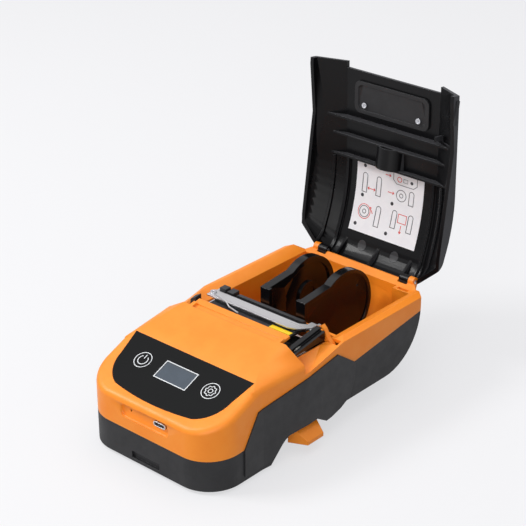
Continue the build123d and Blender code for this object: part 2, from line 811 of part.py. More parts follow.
def platen_roller():
    roller = rod_x(platen_center, platen_radius, -platen_half, platen_half)
    return roller - rod_x(platen_center, shaft_radius, -60, 60)


def platen_shaft():
    return rod_x(platen_center, shaft_radius, -frame_inner - frame_wall - 0.1, gear_start + gear_width)


def platen_bushes():
    tube = rod_x(platen_center, bush_radius, frame_inner, frame_inner + frame_wall)
    collar = rod_x(platen_center, bush_radius + 1.2, frame_inner - 1.0, frame_inner)
    return both(tube + collar - rod_x(platen_center, shaft_radius + running_gap, 0, 60))


def idler_pin():
    pin = rod_x(idler_center(), 1.5, frame_inner, gear_start + gear_width + 0.4)
    return pin + rod_x(idler_center(), 2.4, gear_start + gear_width + 0.2, gear_start + gear_width + 1.0)


def stepper_motor():
    start = frame_inner - motor_length
    can = rod_x(pinion_center(), motor_radius, start, frame_inner)
    flange = block(frame_inner - 1.2, frame_inner, pinion_center()[0] - 12.5, pinion_center()[0] + 12.5,
                   pinion_center()[1] - 3, pinion_center()[1] + 3)
    return can + flange - rod_x(pinion_center(), 1.05, start + 2, frame_inner + 1)


def motor_shaft():
    return rod_x(pinion_center(), 1.0, frame_inner - motor_length + 3, gear_start + gear_width)


def head_lug(low, high):
    y, z = head_pivot
    return slab_x([(0.0, z - 0.8), (y - 1.0, z - 2.2), (y + 1.6, z - 2.2), (y + 2.2, z), (y + 1.2, z + 1.6),
                   (0.0, z + 1.2)], low, high)


def heat_sink():
    # aluminium carrier of the print head, stepped up below the bracket
    top = bracket_level - 0.6
    sink = slab_x([(-17.0, heat_base), (1.0, heat_base), (1.0, top), (-5.6, top), (-5.6, heat_base + 1.4),
                   (-17.0, heat_base + 1.4)], -29, 29)
    sink = sink + head_lug(-22.2, -20.4) + head_lug(27.2, 29.0)
    return sink - rod_x(head_pivot, head_pin_radius + running_gap, -60, 60)


def print_head():
    # ceramic heater plate that lies on the platen's crown
    top = platen_center[1] + platen_radius
    return block(-28, 28, -17.0, -8.5, top + 0.3, heat_base)


def head_bracket():
    # pressed strip over the mechanism, turned to the back at its right end
    strip = slab_z([(-34.4, -6.2), (24, -6.2), (29, -4.4), (34.4, 1.6), (34.4, 6.4), (30.2, 6.4), (30.2, 3.0),
                    (26, 0.8), (-34.4, 0.8)], bracket_level, bracket_level + 0.8)
    return strip - rod_z(bracket_screw_spot, 1.0, 50, 70)


def bracket_screw():
    head = rod_z(bracket_screw_spot, 1.9, bracket_level + 0.8, bracket_level + 1.8)
    return head + rod_z(bracket_screw_spot, 1.0, bracket_level - 1.5, bracket_level + 1.0)


def head_spring():
    # pressure wire from the bracket's top down over the print head
    high = bracket_level + 0.8 + wire_radius
    low = heat_base + 1.4 + wire_radius + 0.5
    path = FilletPolyline((-29.5, -3.6, high), (-19.0, -7.0, high), (-16.6, -7.7, low), (-8.0, -9.8, low), radius=0.9)
    return sweep(Plane(origin=path @ 0, z_dir=path % 0) * RegularPolygon(wire_radius, 6), path)


def caution_strip():
    return block(14, 28, -9.8, -6.6, heat_base + 1.4, heat_base + 1.7)


def head_pin():
    return rod_x(head_pivot, head_pin_radius, -frame_inner - frame_wall - 0.6, frame_inner + frame_wall + 0.6)


def entry_bar():
    # smooth bar that the labels pass over on their way to the head
    y, z = head_pivot
    bar = slab_x([(y - 1.6, z - 1.8), (y + 1.4, z - 1.8), (y + 2.6, z - 0.4), (y + 1.4, z + 2.8), (y - 1.2, z + 3.2)],
                 -20, 26.8)
    return bar - rod_x(head_pivot, head_pin_radius, -60, 60)


def sensor_blocks():
    y, z = head_pivot
    blocks = [block(-32.6, -28.2, y - 1.6, y + 2.6, z - 2.0, z + 4.0),
              block(-27.2, -22.8, y - 1.6, y + 3.6, z - 2.0, z + 3.2)]
    return Compound([piece - rod_x(head_pivot, head_pin_radius, -60, 60) for piece in blocks])


def cover_block(start, end):
    # as high as the closed lid leaves room for
    front, back = -21.6, 4.4
    return slab_x([(front, 52.6), (back, 52.6), (back, lid_under(end, back) - fit),
                   (front, lid_under(end, front) - fit)], start, end)


def gear_cover():
    # two-level glossy cover over the gear train
    room = rod_x(platen_center, gear_module * platen_teeth / 2 + 0.9, gear_start - 0.3, gear_start + gear_width + 0.3)
    cover = cover_block(35.2, 38.2) + (cover_block(38.1, 41.0) & block(30, 50, -30, 10, fence_top, sky))
    return cover - room - rod_x(platen_center, 3.0, 30, 36)


def plunger_post(half, low, high):
    x, y = plunger_spot
    return block(x - half, x + half, y - half, y + half, low, high)


def lid_plunger():
    # its top slopes with the closed lid, just clear of it
    x, y = plunger_spot
    fall = lid_under(-x - 0.5, y) - lid_under(-x + 0.5, y)
    post = lower(plunger_post(plunger_half, plunger_foot, sky), (x, y, lid_under(-x, y) - 0.1), (-fall, -lid_slope, 1))
    return post + plunger_post(plunger_half + 0.6, plunger_foot, plunger_foot + 0.8)


def plunger_spring():
    ring = rod_z(plunger_spot, 2.2, plunger_foot - 1.5, plunger_foot - 0.1)
    return ring - rod_z(plunger_spot, 1.7, 40, 60)


def lid_switch():
    x, y = plunger_spot
    return block(x - 3.2, -land_inner - wall, y - 3.2, y + 3.2, plunger_foot - 5.5, plunger_foot - 1.6)


def screw_spots():
    spots = []
    for x, y in (front_screw, back_screw):
        spots += [(-x, y), (x, y)]
    return spots


def case_screws(gap=0.0):
    screws = []
    for spot in screw_spots():
        head = stud_z(spot, 2.5 + gap, foot_height + (0.3 if gap == 0 else -1), foot_height + 2.0, 12)
        screws.append(head + stud_z(spot, 1.25, foot_height + 1.5, screw_boss + 5))
    return Compound(screws)


def rubber_feet():
    feet = []
    for x, y in ((38.0, -68.0), (30.0, 46.0)):
        for side in (-1, 1):
            foot = stud_z((side * x, y), 4.0, 0, foot_height, 16)
            feet.append(chamfer(foot.faces().sort_by(Axis.Z)[0].edges(), 0.4))
    return Compound(feet)


def main_board():
    board = block(-board_half, board_half, case_front + 6, -42, board_level, board_level + board_thick)
    return fillet(board.edges().filter_by(Axis.Z).sort_by(Axis.Y)[:2], 13)


def usb_socket():
    # metal shell that ends just inside the inlet's mouth
    low = board_level + board_thick
    body = block(inlet_span[0] + fit, inlet_span[1] - fit, case_front + 0.6, case_front + 9.5, low, low + 2.8)
    body = fillet(body.edges().filter_by(Axis.Y), 1.3)
    room = block(inlet_span[0] + 0.8, inlet_span[1] - 0.8, case_front, case_front + 8, low + 0.5, low + 2.3)
    return body - fillet(room.edges().filter_by(Axis.Y), 0.85)


def battery_pack():
    cell = block(-29, 29, -80, -45, foot_height + wall + 1.0, 25.0)
    return fillet(cell.edges().filter_by(Axis.X), 4.0)


def display_module():
    return panel_layer(panel_film_depth, 4.0, outline=face_of([(-11.9, -72.3), (11.9, -72.3), (11.9, -60.1), (-11.9, -60.1)]))


def key_board():
    return panel_layer(4.0, 5.2, outline=face_of([(-31, -75), (31, -75), (31, -57), (-31, -57)]))


def touch_springs():
    pads = []
    for x in (-24.25, 24.25):
        pads.append(panel_layer(wall * 1.06 + 0.1, 4.0, outline=Pos(x, -66) * RegularPolygon(4.0, 8)))
    return Compound(pads)


def control_panel():
    return panel_layer(0, panel_film_depth)


def flats_along(first, through, last, count):
    arc = ThreePointArc(first, through, last)
    places = [arc @ (number / count) for number in range(count + 1)]
    return [(place.X, place.Y) for place in places]


def lid_crown(drop):
    # the ceiling's outline from the bend over the crown and down to the back edge
    second = (82.0, 67.5 - drop)
    crown = flats_along((lid_bend, ceiling_rise - drop), (62.0, 71.2 - drop), second, crown_flats)
    bend = (91.6 - 0.7 * drop, 63.2 - 0.7 * drop)
    return crown + flats_along(second, bend, (95.0 - drop, 58.0), back_flats)[1:]


def lid_side(drop):
    # the side edge's outline, each flat parallel to the ceiling's
    crown = lid_crown(drop)
    y, z = lid_bend, edge_rise - drop * lid_edge_wall / lid_wall
    points = [(y, z)]
    share = 0.82
    for number in range(1, len(crown)):
        if number == crown_flats + 1:
            share = (80.0 - drop * lid_edge_wall / lid_wall - y) / (crown[-1][0] - crown[crown_flats][0])
        y = y + share * (crown[number][0] - crown[number - 1][0])
        z = z + share * (crown[number][1] - crown[number - 1][1])
        points.append((y, z))
    return points


def lid_face(x, drop, ceiling, front):
    # the closed lid's length section, at its flat ceiling or at its side edge
    curve = lid_crown(drop) if ceiling else lid_side(drop)
    start = curve[0][1] + lid_slope * (front - lid_bend)
    return Plane.YZ.offset(x) * face_of([(curve[-1][0], 40), (front, 40), (front, start)] + curve)


def lid_outer():
    places = [(-case_half, False), (-ceiling_half, True), (ceiling_half, True), (case_half, False)]
    return loft([lid_face(x, 0, ceiling, horn_front) for x, ceiling in places], ruled=True)


def lid_inner():
    side = case_half - lid_wall
    middle = ceiling_half - 0.6
    places = [(-side, False), (-middle, True), (middle, True), (side, False)]
    return loft([lid_face(x, lid_wall, ceiling, horn_front - 6) for x, ceiling in places], ruled=True)


def lid_space():
    # everything above the case's rim
    outline = [(-30, shelf_low[1] - 0.5), (shelf_low[0], shelf_low[1] + 0.3), (11, rim_outer + 0.95),
               (74, rim_outer + 0.95), (78, lid_rim), (100, lid_rim), (100, 100), (-30, 100)]
    return slab_x(outline, -60, 60)


def lid_closed():
    inner = lid_inner()
    shell = lid_outer() - inner - block(-lid_notch, lid_notch, -40, lid_front, 0, 100)
    details = lid_ribs(inner) + lid_gussets(inner) + lid_saddle(inner) + lid_catch(inner)
    shell = ((shell + details) & lid_space()) - hook_room(inner)
    shell = shell - both(block(ear_inner - 0.25, ear_outer + 0.4, case_back - 2.4, 100, 40, 58.5))
    return shell + lid_knuckles() - both(rod_x(hinge, hinge_pin_radius + running_gap, knuckle_inner - 1, ear_inner))


def hook_room(inner):
    # thinner wall where the latch's hook swings out
    zone = block(fin_reach[0] - 0.6, fin_reach[1] - 0.4, fin_front - 0.6, fin_back + 0.6, 54, 70)
    return (Pos(0, 0, hook_relief) * inner) & zone


def lid_knuckles():
    y, z = hinge
    knuckle = rod_x(hinge, knuckle_radius, knuckle_inner, ear_inner - 0.25)
    web = slab_x([(y - 1.2, z + 2.0), (y + 2.8, z + 4.4), (y + 4.9, z + 4.4), (y + 4.9, z + 0.3), (y + 1.0, z - 2.2)],
                 knuckle_inner, ear_inner - 0.25)
    return both(knuckle + web)


def lid_ribs(inner):
    # three cross ribs, four long ribs and the thin ledge along the front edge
    cross = block(-60, 60, 10.5, 11.7, 58.2, 90) + block(-60, 60, 21.4, 22.6, 61.6, 90)
    cross = cross + block(-60, 60, 34.0, 35.2, 63.2, 90)
    ribs = cross & inner
    band = inner - Pos(0, 0, -long_rib_depth) * inner
    for x in (-38, -30, 30, 38):
        ribs = ribs + (band & block(x - 0.6, x + 0.6, 36, 95, 50, 90))
    return ribs


def lid_gussets(inner):
    wedge = [(83.8, 64.9), (93.2, lid_rim + 0.3), (96, lid_rim + 0.3), (96, 75), (83.8, 75)]
    gussets = slab_x(wedge, -0.8, 0.8) + slab_x(wedge, 22.7, 24.3) + slab_x(wedge, -24.3, -22.7)
    return gussets & inner


def lid_saddle(inner):
    # half-round bridge between the second and the third rib
    ring = rod_y((0, 67.5), 9.0, 22, 34.6) - rod_y((0, 67.5), 7.8, 20, 36)
    return ring & inner & block(-10, 10, 22, 34.6, 50, 90)


def lid_catch(inner):
    # the foot ends just short of the hook's nose
    foot = fin_reach[0] - 0.3
    inside = frame_inner + frame_wall + 0.3
    web = slab_y([(inside, 90), (inside, 55.8), (foot, 55.8), (foot, 57.2), (inside + 1.2, 57.6), (inside + 1.2, 90)],
                 fin_front, fin_back)
    return web & block(30, 40, fin_front, fin_back, 50, lid_height(36, 7) - 1.0)


def lid_insert():
    # rounded tray screwed under the lid's front
    plate = block(-26, 26, -12.4, 6.6, 50, 80)
    plate = fillet(plate.edges().filter_by(Axis.Z), 4)
    room = block(-23.6, 23.6, -10.2, 4.4, 50, 80)
    room = fillet(room.edges().filter_by(Axis.Z), 3)
    inner = lid_inner()
    ring = (plate - room) & (inner - Pos(0, 0, -1.3) * inner)
    return ring + (plate & (inner - Pos(0, 0, -0.6) * inner))


def lid_screws():
    screws = []
    for x in (-19.0, 19.0):
        z = lid_height(0, 1.5) - lid_wall - 0.6
        screws.append(rod_z((x, 1.5), 1.6, z - 1.1, z - 0.28))
    return Compound(screws)


def instruction_sheet():
    inner = lid_inner()
    return (inner - Pos(0, 0, -0.25) * inner) & block(-24, 24, 36.2, 78.0, 50, 90)


def lid_bumper():
    return block(case_half, case_half + 0.8, -19.0, -5.5, 49.2, 51.6)


def hinge_pins():
    return both(rod_x(hinge, hinge_pin_radius, knuckle_inner, ear_outer + 0.3))


def opened(shape):
    return shape.rotate(Axis((0, hinge[0], hinge[1]), (1, 0, 0)), -open_angle)


names = {}


def keep(name, shape):
    names[name] = shape


def write_all():
    os.makedirs("parts", exist_ok=True)
    for name, shape in names.items():
        export_step(shape, "parts/" + name + ".step")


keep("top_case", top_case())
keep("bottom_case", bottom_case())
keep("side_panel_right", side_panel(1))
keep("side_panel_left", side_panel(-1))
keep("battery_cover", battery_cover())
keep("battery_cover_pin", battery_cover_pin())
keep("latch_lever", latch_lever())
keep("latch_pin", latch_pin())
keep("latch_spring", latch_spring())
for side, word in ((1, "right"), (-1, "left")):
    keep("roll_guide_" + word, roll_guide(side))
    keep("guide_rack_" + word, guide_rack(side))
keep("rack_pinion", rack_pinion())
keep("rack_pin", rack_pin())
keep("mech_frame", mech_frame())
keep("platen_roller", platen_roller())
keep("platen_shaft", platen_shaft())
keep("platen_bushes", platen_bushes())
keep("platen_gear", gear(platen_center, platen_teeth, idler_angle, shaft_radius + 0.01))
keep("idler_gear", gear(idler_center(), idler_teeth, idler_phase(), 1.5 + running_gap))
keep("idler_pin", idler_pin())
keep("motor_pinion", gear(pinion_center(), motor_teeth, pinion_phase(), 1.01))
keep("motor_shaft", motor_shaft())
keep("stepper_motor", stepper_motor())
keep("heat_sink", heat_sink())
keep("print_head", print_head())
keep("head_bracket", head_bracket())
keep("bracket_screw", bracket_screw())
keep("head_spring", head_spring())
keep("caution_strip", caution_strip())
keep("head_pin", head_pin())
keep("entry_bar", entry_bar())
keep("sensor_blocks", sensor_blocks())
keep("gear_cover", gear_cover())
keep("lid_plunger", lid_plunger())
keep("plunger_spring", plunger_spring())
keep("lid_switch", lid_switch())
keep("case_screws", case_screws())
keep("rubber_feet", rubber_feet())
keep("main_board", main_board())
keep("usb_socket", usb_socket())
keep("battery_pack", battery_pack())
keep("display_module", display_module())
keep("key_board", key_board())
keep("touch_springs", touch_springs())
keep("control_panel", control_panel())
keep("lid", opened(lid_closed()))
keep("lid_insert", opened(lid_insert()))
keep("lid_screws", opened(lid_screws()))
keep("instruction_sheet", opened(instruction_sheet()))
keep("lid_bumper", opened(lid_bumper()))
keep("hinge_pins", hinge_pins())
write_all()
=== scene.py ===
import json
import math

import bmesh
import bpy
import numpy as np
from mathutils import Matrix, Vector


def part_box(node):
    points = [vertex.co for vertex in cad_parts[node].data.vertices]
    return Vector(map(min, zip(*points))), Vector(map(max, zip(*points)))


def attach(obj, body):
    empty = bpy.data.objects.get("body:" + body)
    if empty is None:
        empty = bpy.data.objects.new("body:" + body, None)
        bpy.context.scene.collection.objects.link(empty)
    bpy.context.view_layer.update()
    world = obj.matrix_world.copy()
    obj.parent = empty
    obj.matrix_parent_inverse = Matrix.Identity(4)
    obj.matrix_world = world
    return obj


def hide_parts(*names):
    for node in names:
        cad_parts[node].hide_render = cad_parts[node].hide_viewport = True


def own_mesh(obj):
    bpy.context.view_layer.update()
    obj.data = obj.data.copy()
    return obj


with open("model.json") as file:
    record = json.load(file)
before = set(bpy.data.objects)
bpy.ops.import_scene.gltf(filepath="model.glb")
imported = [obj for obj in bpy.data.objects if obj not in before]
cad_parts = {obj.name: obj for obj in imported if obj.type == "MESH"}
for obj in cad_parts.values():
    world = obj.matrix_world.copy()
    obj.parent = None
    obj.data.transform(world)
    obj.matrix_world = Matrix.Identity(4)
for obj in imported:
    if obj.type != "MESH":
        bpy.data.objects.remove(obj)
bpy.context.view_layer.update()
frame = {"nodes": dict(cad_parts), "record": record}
nodes = frame["nodes"]
mm = 0.001
scene = bpy.context.scene
print("frame loaded:", len(nodes), "nodes")


def addObject(name, data):
    # an object for a mesh, lamp or camera, linked into the scene
    added = bpy.data.objects.new(name, data)
    scene.collection.objects.link(added)
    return added


def mendMesh(mesh, mergeWithin, turnOutwards=False):
    # merges doubles. CAD triangles point the right way already, so only meshes made here are turned
    mended = bmesh.new()
    mended.from_mesh(mesh)
    bmesh.ops.remove_doubles(mended, verts=mended.verts, dist=mergeWithin * mm)
    if turnOutwards:
        bmesh.ops.recalc_face_normals(mended, faces=mended.faces)
    mended.to_mesh(mesh)
    mended.free()


def closedMesh(name, points, faces):
    # points in metres as an array, faces as lists of their numbers
    mesh = bpy.data.meshes.new(name)
    mesh.from_pydata(points.tolist(), [], faces)
    mendMesh(mesh, smoothing["ownMergeWithin"], turnOutwards=True)
    return mesh


def workedMesh(piece):
    # the piece's mesh with its modifiers worked in
    bpy.context.view_layer.update()
    return bpy.data.meshes.new_from_object(
        piece.evaluated_get(bpy.context.evaluated_depsgraph_get()))


def pointsOf(mesh):
    # all the mesh's points as rows of x, y and z
    flat = np.empty(3 * len(mesh.vertices), np.float32)
    mesh.vertices.foreach_get("co", flat)
    return flat.reshape(-1, 3).astype(float)


def toLinear(hexColour):
    # sRGB hex to linear: below 0.04045 a division by 12.92, above it the 2.4 power curve
    values = [int(hexColour[i:i + 2], 16) / 255 for i in (1, 3, 5)]
    linear = [v / 12.92 if v <= 0.04045 else ((v + 0.055) / 1.055) ** 2.4 for v in values]
    return tuple(linear) + (1.0,)


def addNode(tree, kind, settings=None, links=None):
    # settings are the node's own properties or its sockets' values, links lead into its sockets
    node = tree.nodes.new(kind)
    for key, value in (settings or {}).items():
        if isinstance(key, str) and hasattr(node, key):
            setattr(node, key, value)
        else:
            node.inputs[key].default_value = value
    for key, (source, output) in (links or {}).items():
        tree.links.new(source.outputs[output], node.inputs[key])
    return node


patterns = {
    "mottled": (0.38, 0.64),  # the slow noise's band that the second colour is spread over
    "uneven": (0.3, 0.7),  # the slow noise's band that the roughness follows
    "rubbed": (0.99, 0.86),  # cosine of rounded to flat normal: rubbing starts, and is full
    "bump": 0.35,  # the grain's strength
    "grainDetail": 2.0, "grainRough": 0.6,  # the fine noise
    "patchDetail": 4.0, "patchRough": 0.65,  # the slow noise
    "bevelSamples": 4,  # rays that round each edge's normal
}


def startFinish(name):
    # an empty material and its node tree
    finish = bpy.data.materials.new(name)
    finish.use_nodes = True
    finish.node_tree.nodes.clear()
    return finish, finish.node_tree


def edgeRub(tree, edge, most):
    # along an edge the rounded normal leaves the flat one, and rubbing grows as their cosine falls
    flat = addNode(tree, "ShaderNodeNewGeometry")
    rounded = addNode(tree, "ShaderNodeBevel",
                      {"samples": patterns["bevelSamples"], "Radius": edge * mm})
    cosine = addNode(tree, "ShaderNodeVectorMath", {"operation": "DOT_PRODUCT"},
                     {0: (rounded, 0), 1: (flat, "Normal")})
    start, full = patterns["rubbed"]
    rub = addNode(tree, "ShaderNodeMapRange", {1: start, 2: full, 3: 0.0, 4: most},
                  {0: (cosine, "Value")})
    return rounded, rub


def makeFinish(name, look):
    # a fine noise is the grain's bump, a slow noise moves colour and roughness, edges are rubbed
    finish, tree = startFinish(name)
    place = addNode(tree, "ShaderNodeTexCoord")
    drawn = addNode(tree, "ShaderNodeMapping", {"Scale": look.get("stretch", (1, 1, 1))},
                    {"Vector": (place, "Object")})
    grain = addNode(tree, "ShaderNodeTexNoise",
                    {"Scale": 1 / (look["grain"] * mm), "Detail": patterns["grainDetail"],
                     "Roughness": patterns["grainRough"]}, {"Vector": (drawn, 0)})
    patches = addNode(tree, "ShaderNodeTexNoise",
                      {"Scale": 1 / (look["patch"] * mm), "Detail": patterns["patchDetail"],
                       "Roughness": patterns["patchRough"]}, {"Vector": (drawn, 0)})
    low, high = patterns["mottled"]
    mottle = addNode(tree, "ShaderNodeMapRange", {1: low, 2: high, 3: 0.0, 4: 1.0},
                     {0: (patches, 0)})
    colour = addNode(tree, "ShaderNodeMix",
                     {"data_type": "RGBA", 6: toLinear(look["colour"]), 7: toLinear(look["shade"])},
                     {0: (mottle, 0)})
    rounded, rub = edgeRub(tree, look["edge"], look["wear"])
    broken = addNode(tree, "ShaderNodeMath", {"operation": "MULTIPLY"},
                     {0: (rub, 0), 1: (mottle, 0)})
    worn = addNode(tree, "ShaderNodeMix", {"data_type": "RGBA", 7: toLinear(look["rubbed"])},
                   {0: (broken, 0), 6: (colour, 2)})
    low, high = patterns["uneven"]
    rough = addNode(tree, "ShaderNodeMapRange",
                    {1: low, 2: high, 3: look["rough"] - look["vary"],
                     4: look["rough"] + look["vary"]}, {0: (patches, 0)})
    bump = addNode(tree, "ShaderNodeBump",
                   {"Strength": patterns["bump"], "Distance": look["depth"] * mm},
                   {"Height": (grain, 0), "Normal": (rounded, 0)})
    skin = addNode(tree, "ShaderNodeBsdfPrincipled", {"Metallic": look.get("metallic", 0.0)},
                   {"Base Color": (worn, 2), "Roughness": (rough, 0), "Normal": (bump, 0)})
    if "ior" in look:
        skin.inputs["IOR"].default_value = look["ior"]
    addNode(tree, "ShaderNodeOutputMaterial", None, {"Surface": (skin, 0)})
    return finish


# grain, patch, depth and edge are in mm, and the IORs are matched to the object from typical ones.
# A real spark texture has a grain of about 0.1 mm, too fine to show, so it is drawn coarser here
looks = {
    # orange ABS moulding, fine spark texture: an even satin, slightly deeper in the hollows
    "orangeAbsSatin": {
        "colour": "#FF9423", "shade": "#FD8E1E", "rubbed": "#FFB058", "wear": 0.3, "rough": 0.44,
        "vary": 0.05, "grain": 0.45, "patch": 14, "depth": 0.02, "edge": 0.35, "ior": 1.5},
    # charcoal ABS moulding, spark texture: matte, a little paler along its rubbed edges
    "charcoalAbsMatte": {
        "colour": "#212123", "shade": "#1D1D1F", "rubbed": "#4C4C50", "wear": 0.5, "rough": 0.56,
        "vary": 0.06, "grain": 0.5, "patch": 12, "depth": 0.035, "edge": 0.45, "ior": 1.42},
    # moulded inlay panels in the sides: a coarser spark texture, duller than the shell
    "inlayPanelMatte": {
        "colour": "#1F1F21", "shade": "#1B1B1D", "rubbed": "#48484C", "wear": 0.4, "rough": 0.62,
        "vary": 0.05, "grain": 0.7, "patch": 10, "depth": 0.05, "edge": 0.35, "ior": 1.5},
    # polished black ABS of the roll guides: clear reflections, very slightly wavy
    "blackAbsPolished": {
        "colour": "#0F0F11", "shade": "#0B0B0D", "rubbed": "#303034", "wear": 0.3, "rough": 0.16,
        "vary": 0.05, "grain": 2.4, "patch": 18, "depth": 0.015, "edge": 0.4, "ior": 1.4},
    # printed polyester overlay on the keys: low gloss, almost even black
    "polyesterOverlay": {
        "colour": "#08090A", "shade": "#060708", "rubbed": "#2A2B30", "wear": 0.4, "rough": 0.34,
        "vary": 0.05, "grain": 0.6, "patch": 16, "depth": 0.008, "edge": 0.08, "ior": 1.22},
    # white acetal gears and racks: waxy satin
    "acetalWhite": {
        "colour": "#E4E3DE", "shade": "#DAD9D2", "rubbed": "#F0EFEA", "wear": 0.3, "rough": 0.38,
        "vary": 0.05, "grain": 0.8, "patch": 8, "depth": 0.01, "edge": 0.15, "ior": 1.48},
    # zinc plated pressed steel: pale satin metal with rolling lines along X
    "pressedSteelSatin": {
        "colour": "#DEDCDD", "shade": "#CDCBCD", "rubbed": "#ECEBEC", "wear": 0.5, "rough": 0.34,
        "vary": 0.08, "metallic": 1.0, "grain": 0.35, "patch": 9, "depth": 0.012, "edge": 0.2,
        "stretch": (0.05, 1, 1)},
    # bright zinc screws: light metal, sharper reflections than the pressed steel
    "zincBright": {
        "colour": "#D6D6DA", "shade": "#C6C7CC", "rubbed": "#EDEDF0", "wear": 0.5, "rough": 0.24,
        "vary": 0.06, "metallic": 1.0, "grain": 0.4, "patch": 5, "depth": 0.01, "edge": 0.15},
    # drawn steel can of the motor: duller, fine upright draw lines
    "drawnSteelCan": {
        "colour": "#A9AAAD", "shade": "#96979B", "rubbed": "#C8C8CC", "wear": 0.5, "rough": 0.4,
        "vary": 0.08, "metallic": 1.0, "grain": 0.4, "patch": 8, "depth": 0.012, "edge": 0.3,
        "stretch": (1, 1, 0.06)},
    # extruded aluminium heat sink, drawn dark as painted shade of the gap between the bracket and
    # the deck: dark satin, bare metal where edges are rubbed
    "darkAluminiumPaintedShade": {
        "colour": "#2B2C2F", "shade": "#232427", "rubbed": "#B9BBBE", "wear": 0.6, "rough": 0.4,
        "vary": 0.07, "metallic": 0.6, "grain": 0.3, "patch": 7, "depth": 0.012, "edge": 0.2,
        "stretch": (0.06, 1, 1)},
    # glazed ceramic strip of the head: off-white, glossy
    "glazedCeramic": {
        "colour": "#E9E7E0", "shade": "#E0DDD4", "rubbed": "#F4F3EE", "wear": 0.2, "rough": 0.2,
        "vary": 0.04, "grain": 0.5, "patch": 6, "depth": 0.006, "edge": 0.15, "ior": 1.6},
    # silicone rubber of the roller, feet and bumper: dull, slightly dusty
    "siliconeRubberBlack": {
        "colour": "#252527", "shade": "#2E2E31", "rubbed": "#3E3E42", "wear": 0.4, "rough": 0.78,
        "vary": 0.07, "grain": 0.35, "patch": 5, "depth": 0.03, "edge": 0.3, "ior": 1.43},
    # black glass-filled plastic of the sensor blocks and the switch
    "filledNylonBlack": {
        "colour": "#232326", "shade": "#1D1D20", "rubbed": "#434347", "wear": 0.4, "rough": 0.5,
        "vary": 0.06, "grain": 0.4, "patch": 6, "depth": 0.02, "edge": 0.2, "ior": 1.53},
    # yellow coated paper strip: even colour, low gloss
    "coatedPaperYellow": {
        "colour": "#FBD60A", "shade": "#F5CC06", "rubbed": "#FBE15A", "wear": 0.3, "rough": 0.4,
        "vary": 0.05, "grain": 0.4, "patch": 4, "depth": 0.006, "edge": 0.05, "ior": 1.5},
    # coated label paper of the picture sheet: near white with soft fibre clouds
    "coatedPaperWhite": {
        "colour": "#EEEEF1", "shade": "#E9E9ED", "rubbed": "#F4F4F6", "wear": 0.2, "rough": 0.46,
        "vary": 0.05, "grain": 0.3, "patch": 6, "depth": 0.006, "edge": 0.05, "ior": 1.5},
    # green solder mask over glass cloth: half gloss with a fine ripple
    "solderMaskGreen": {
        "colour": "#1E5B3A", "shade": "#194D31", "rubbed": "#6E8F5C", "wear": 0.5, "rough": 0.3,
        "vary": 0.06, "grain": 0.5, "patch": 5, "depth": 0.02, "edge": 0.15, "ior": 1.55},
    # glass of the display module: smooth, clear reflections
    "displayGlassGrey": {
        "colour": "#55646F", "shade": "#4B5963", "rubbed": "#7D8B95", "wear": 0.2, "rough": 0.1,
        "vary": 0.03, "grain": 1.5, "patch": 9, "depth": 0.004, "edge": 0.15, "ior": 1.52},
    # shrink sleeve of the battery: soft folds, satin blue
    "shrinkSleeveBlue": {
        "colour": "#2F5A8C", "shade": "#284E7B", "rubbed": "#6C8DB4", "wear": 0.4, "rough": 0.35,
        "vary": 0.06, "grain": 3.0, "patch": 7, "depth": 0.06, "edge": 0.3, "ior": 1.54},
    # screen printed white ink: thin, a touch uneven
    "screenInkWhite": {
        "colour": "#E8EAEC", "shade": "#DDE0E3", "rubbed": "#F2F3F5", "wear": 0.1, "rough": 0.5,
        "vary": 0.05, "grain": 0.3, "patch": 3, "depth": 0.004, "edge": 0.02, "ior": 1.5},
    # printed inks on the picture sheet: thin and dull
    "sheetInkGrey": {
        "colour": "#3C3D42", "shade": "#46474C", "rubbed": "#77787D", "wear": 0.1, "rough": 0.5,
        "vary": 0.05, "grain": 0.3, "patch": 3, "depth": 0.004, "edge": 0.02, "ior": 1.5},
    "sheetInkRed": {
        "colour": "#D8392C", "shade": "#CE3327", "rubbed": "#E2655A", "wear": 0.1, "rough": 0.5,
        "vary": 0.05, "grain": 0.3, "patch": 3, "depth": 0.004, "edge": 0.02, "ior": 1.5},
    "sheetInkBlack": {
        "colour": "#26262A", "shade": "#2E2E33", "rubbed": "#46464B", "wear": 0.1, "rough": 0.5,
        "vary": 0.05, "grain": 0.3, "patch": 3, "depth": 0.004, "edge": 0.02, "ior": 1.5},
    # liquid crystal pane in the overlay's window: slate, glassy
    "slatePaneGloss": {
        "colour": "#33414F", "shade": "#2F3C49", "rubbed": "#5A6876", "wear": 0.1, "rough": 0.14,
        "vary": 0.04, "grain": 1.2, "patch": 8, "depth": 0.004, "edge": 0.02, "ior": 1.52},
    # painted shade along the pane's upper and left border, where the window's rim shades it: a band
    # a shade lighter and duller than the pane
    "slatePaneEdge": {
        "colour": "#3A434D", "shade": "#353D46", "rubbed": "#505A65", "wear": 0.1, "rough": 0.2,
        "vary": 0.04, "grain": 1.2, "patch": 8, "depth": 0.004, "edge": 0.02, "ior": 1.52},
}
finishes = {name: makeFinish(name, look) for name, look in looks.items()}

lidLook = {
    # inner is painted shade of the hollow, outer is painted light on the lid's back: one charcoal
    # ABS
    "inner": "#0B0B0D", "outer": "#434346", "rubbed": "#606065", "wear": 0.12,
    "innerRough": 0.3, "outerRough": 0.55, "vary": 0.05, "innerBump": 0.03, "outerBump": 0.35,
    "grain": 0.5, "patch": 16, "depth": 0.03, "edge": 0.45, "ior": 1.28,
    "hollow": (0.0, 0.0820, 0.0895),  # metres, the middle of the open lid's hollow
}


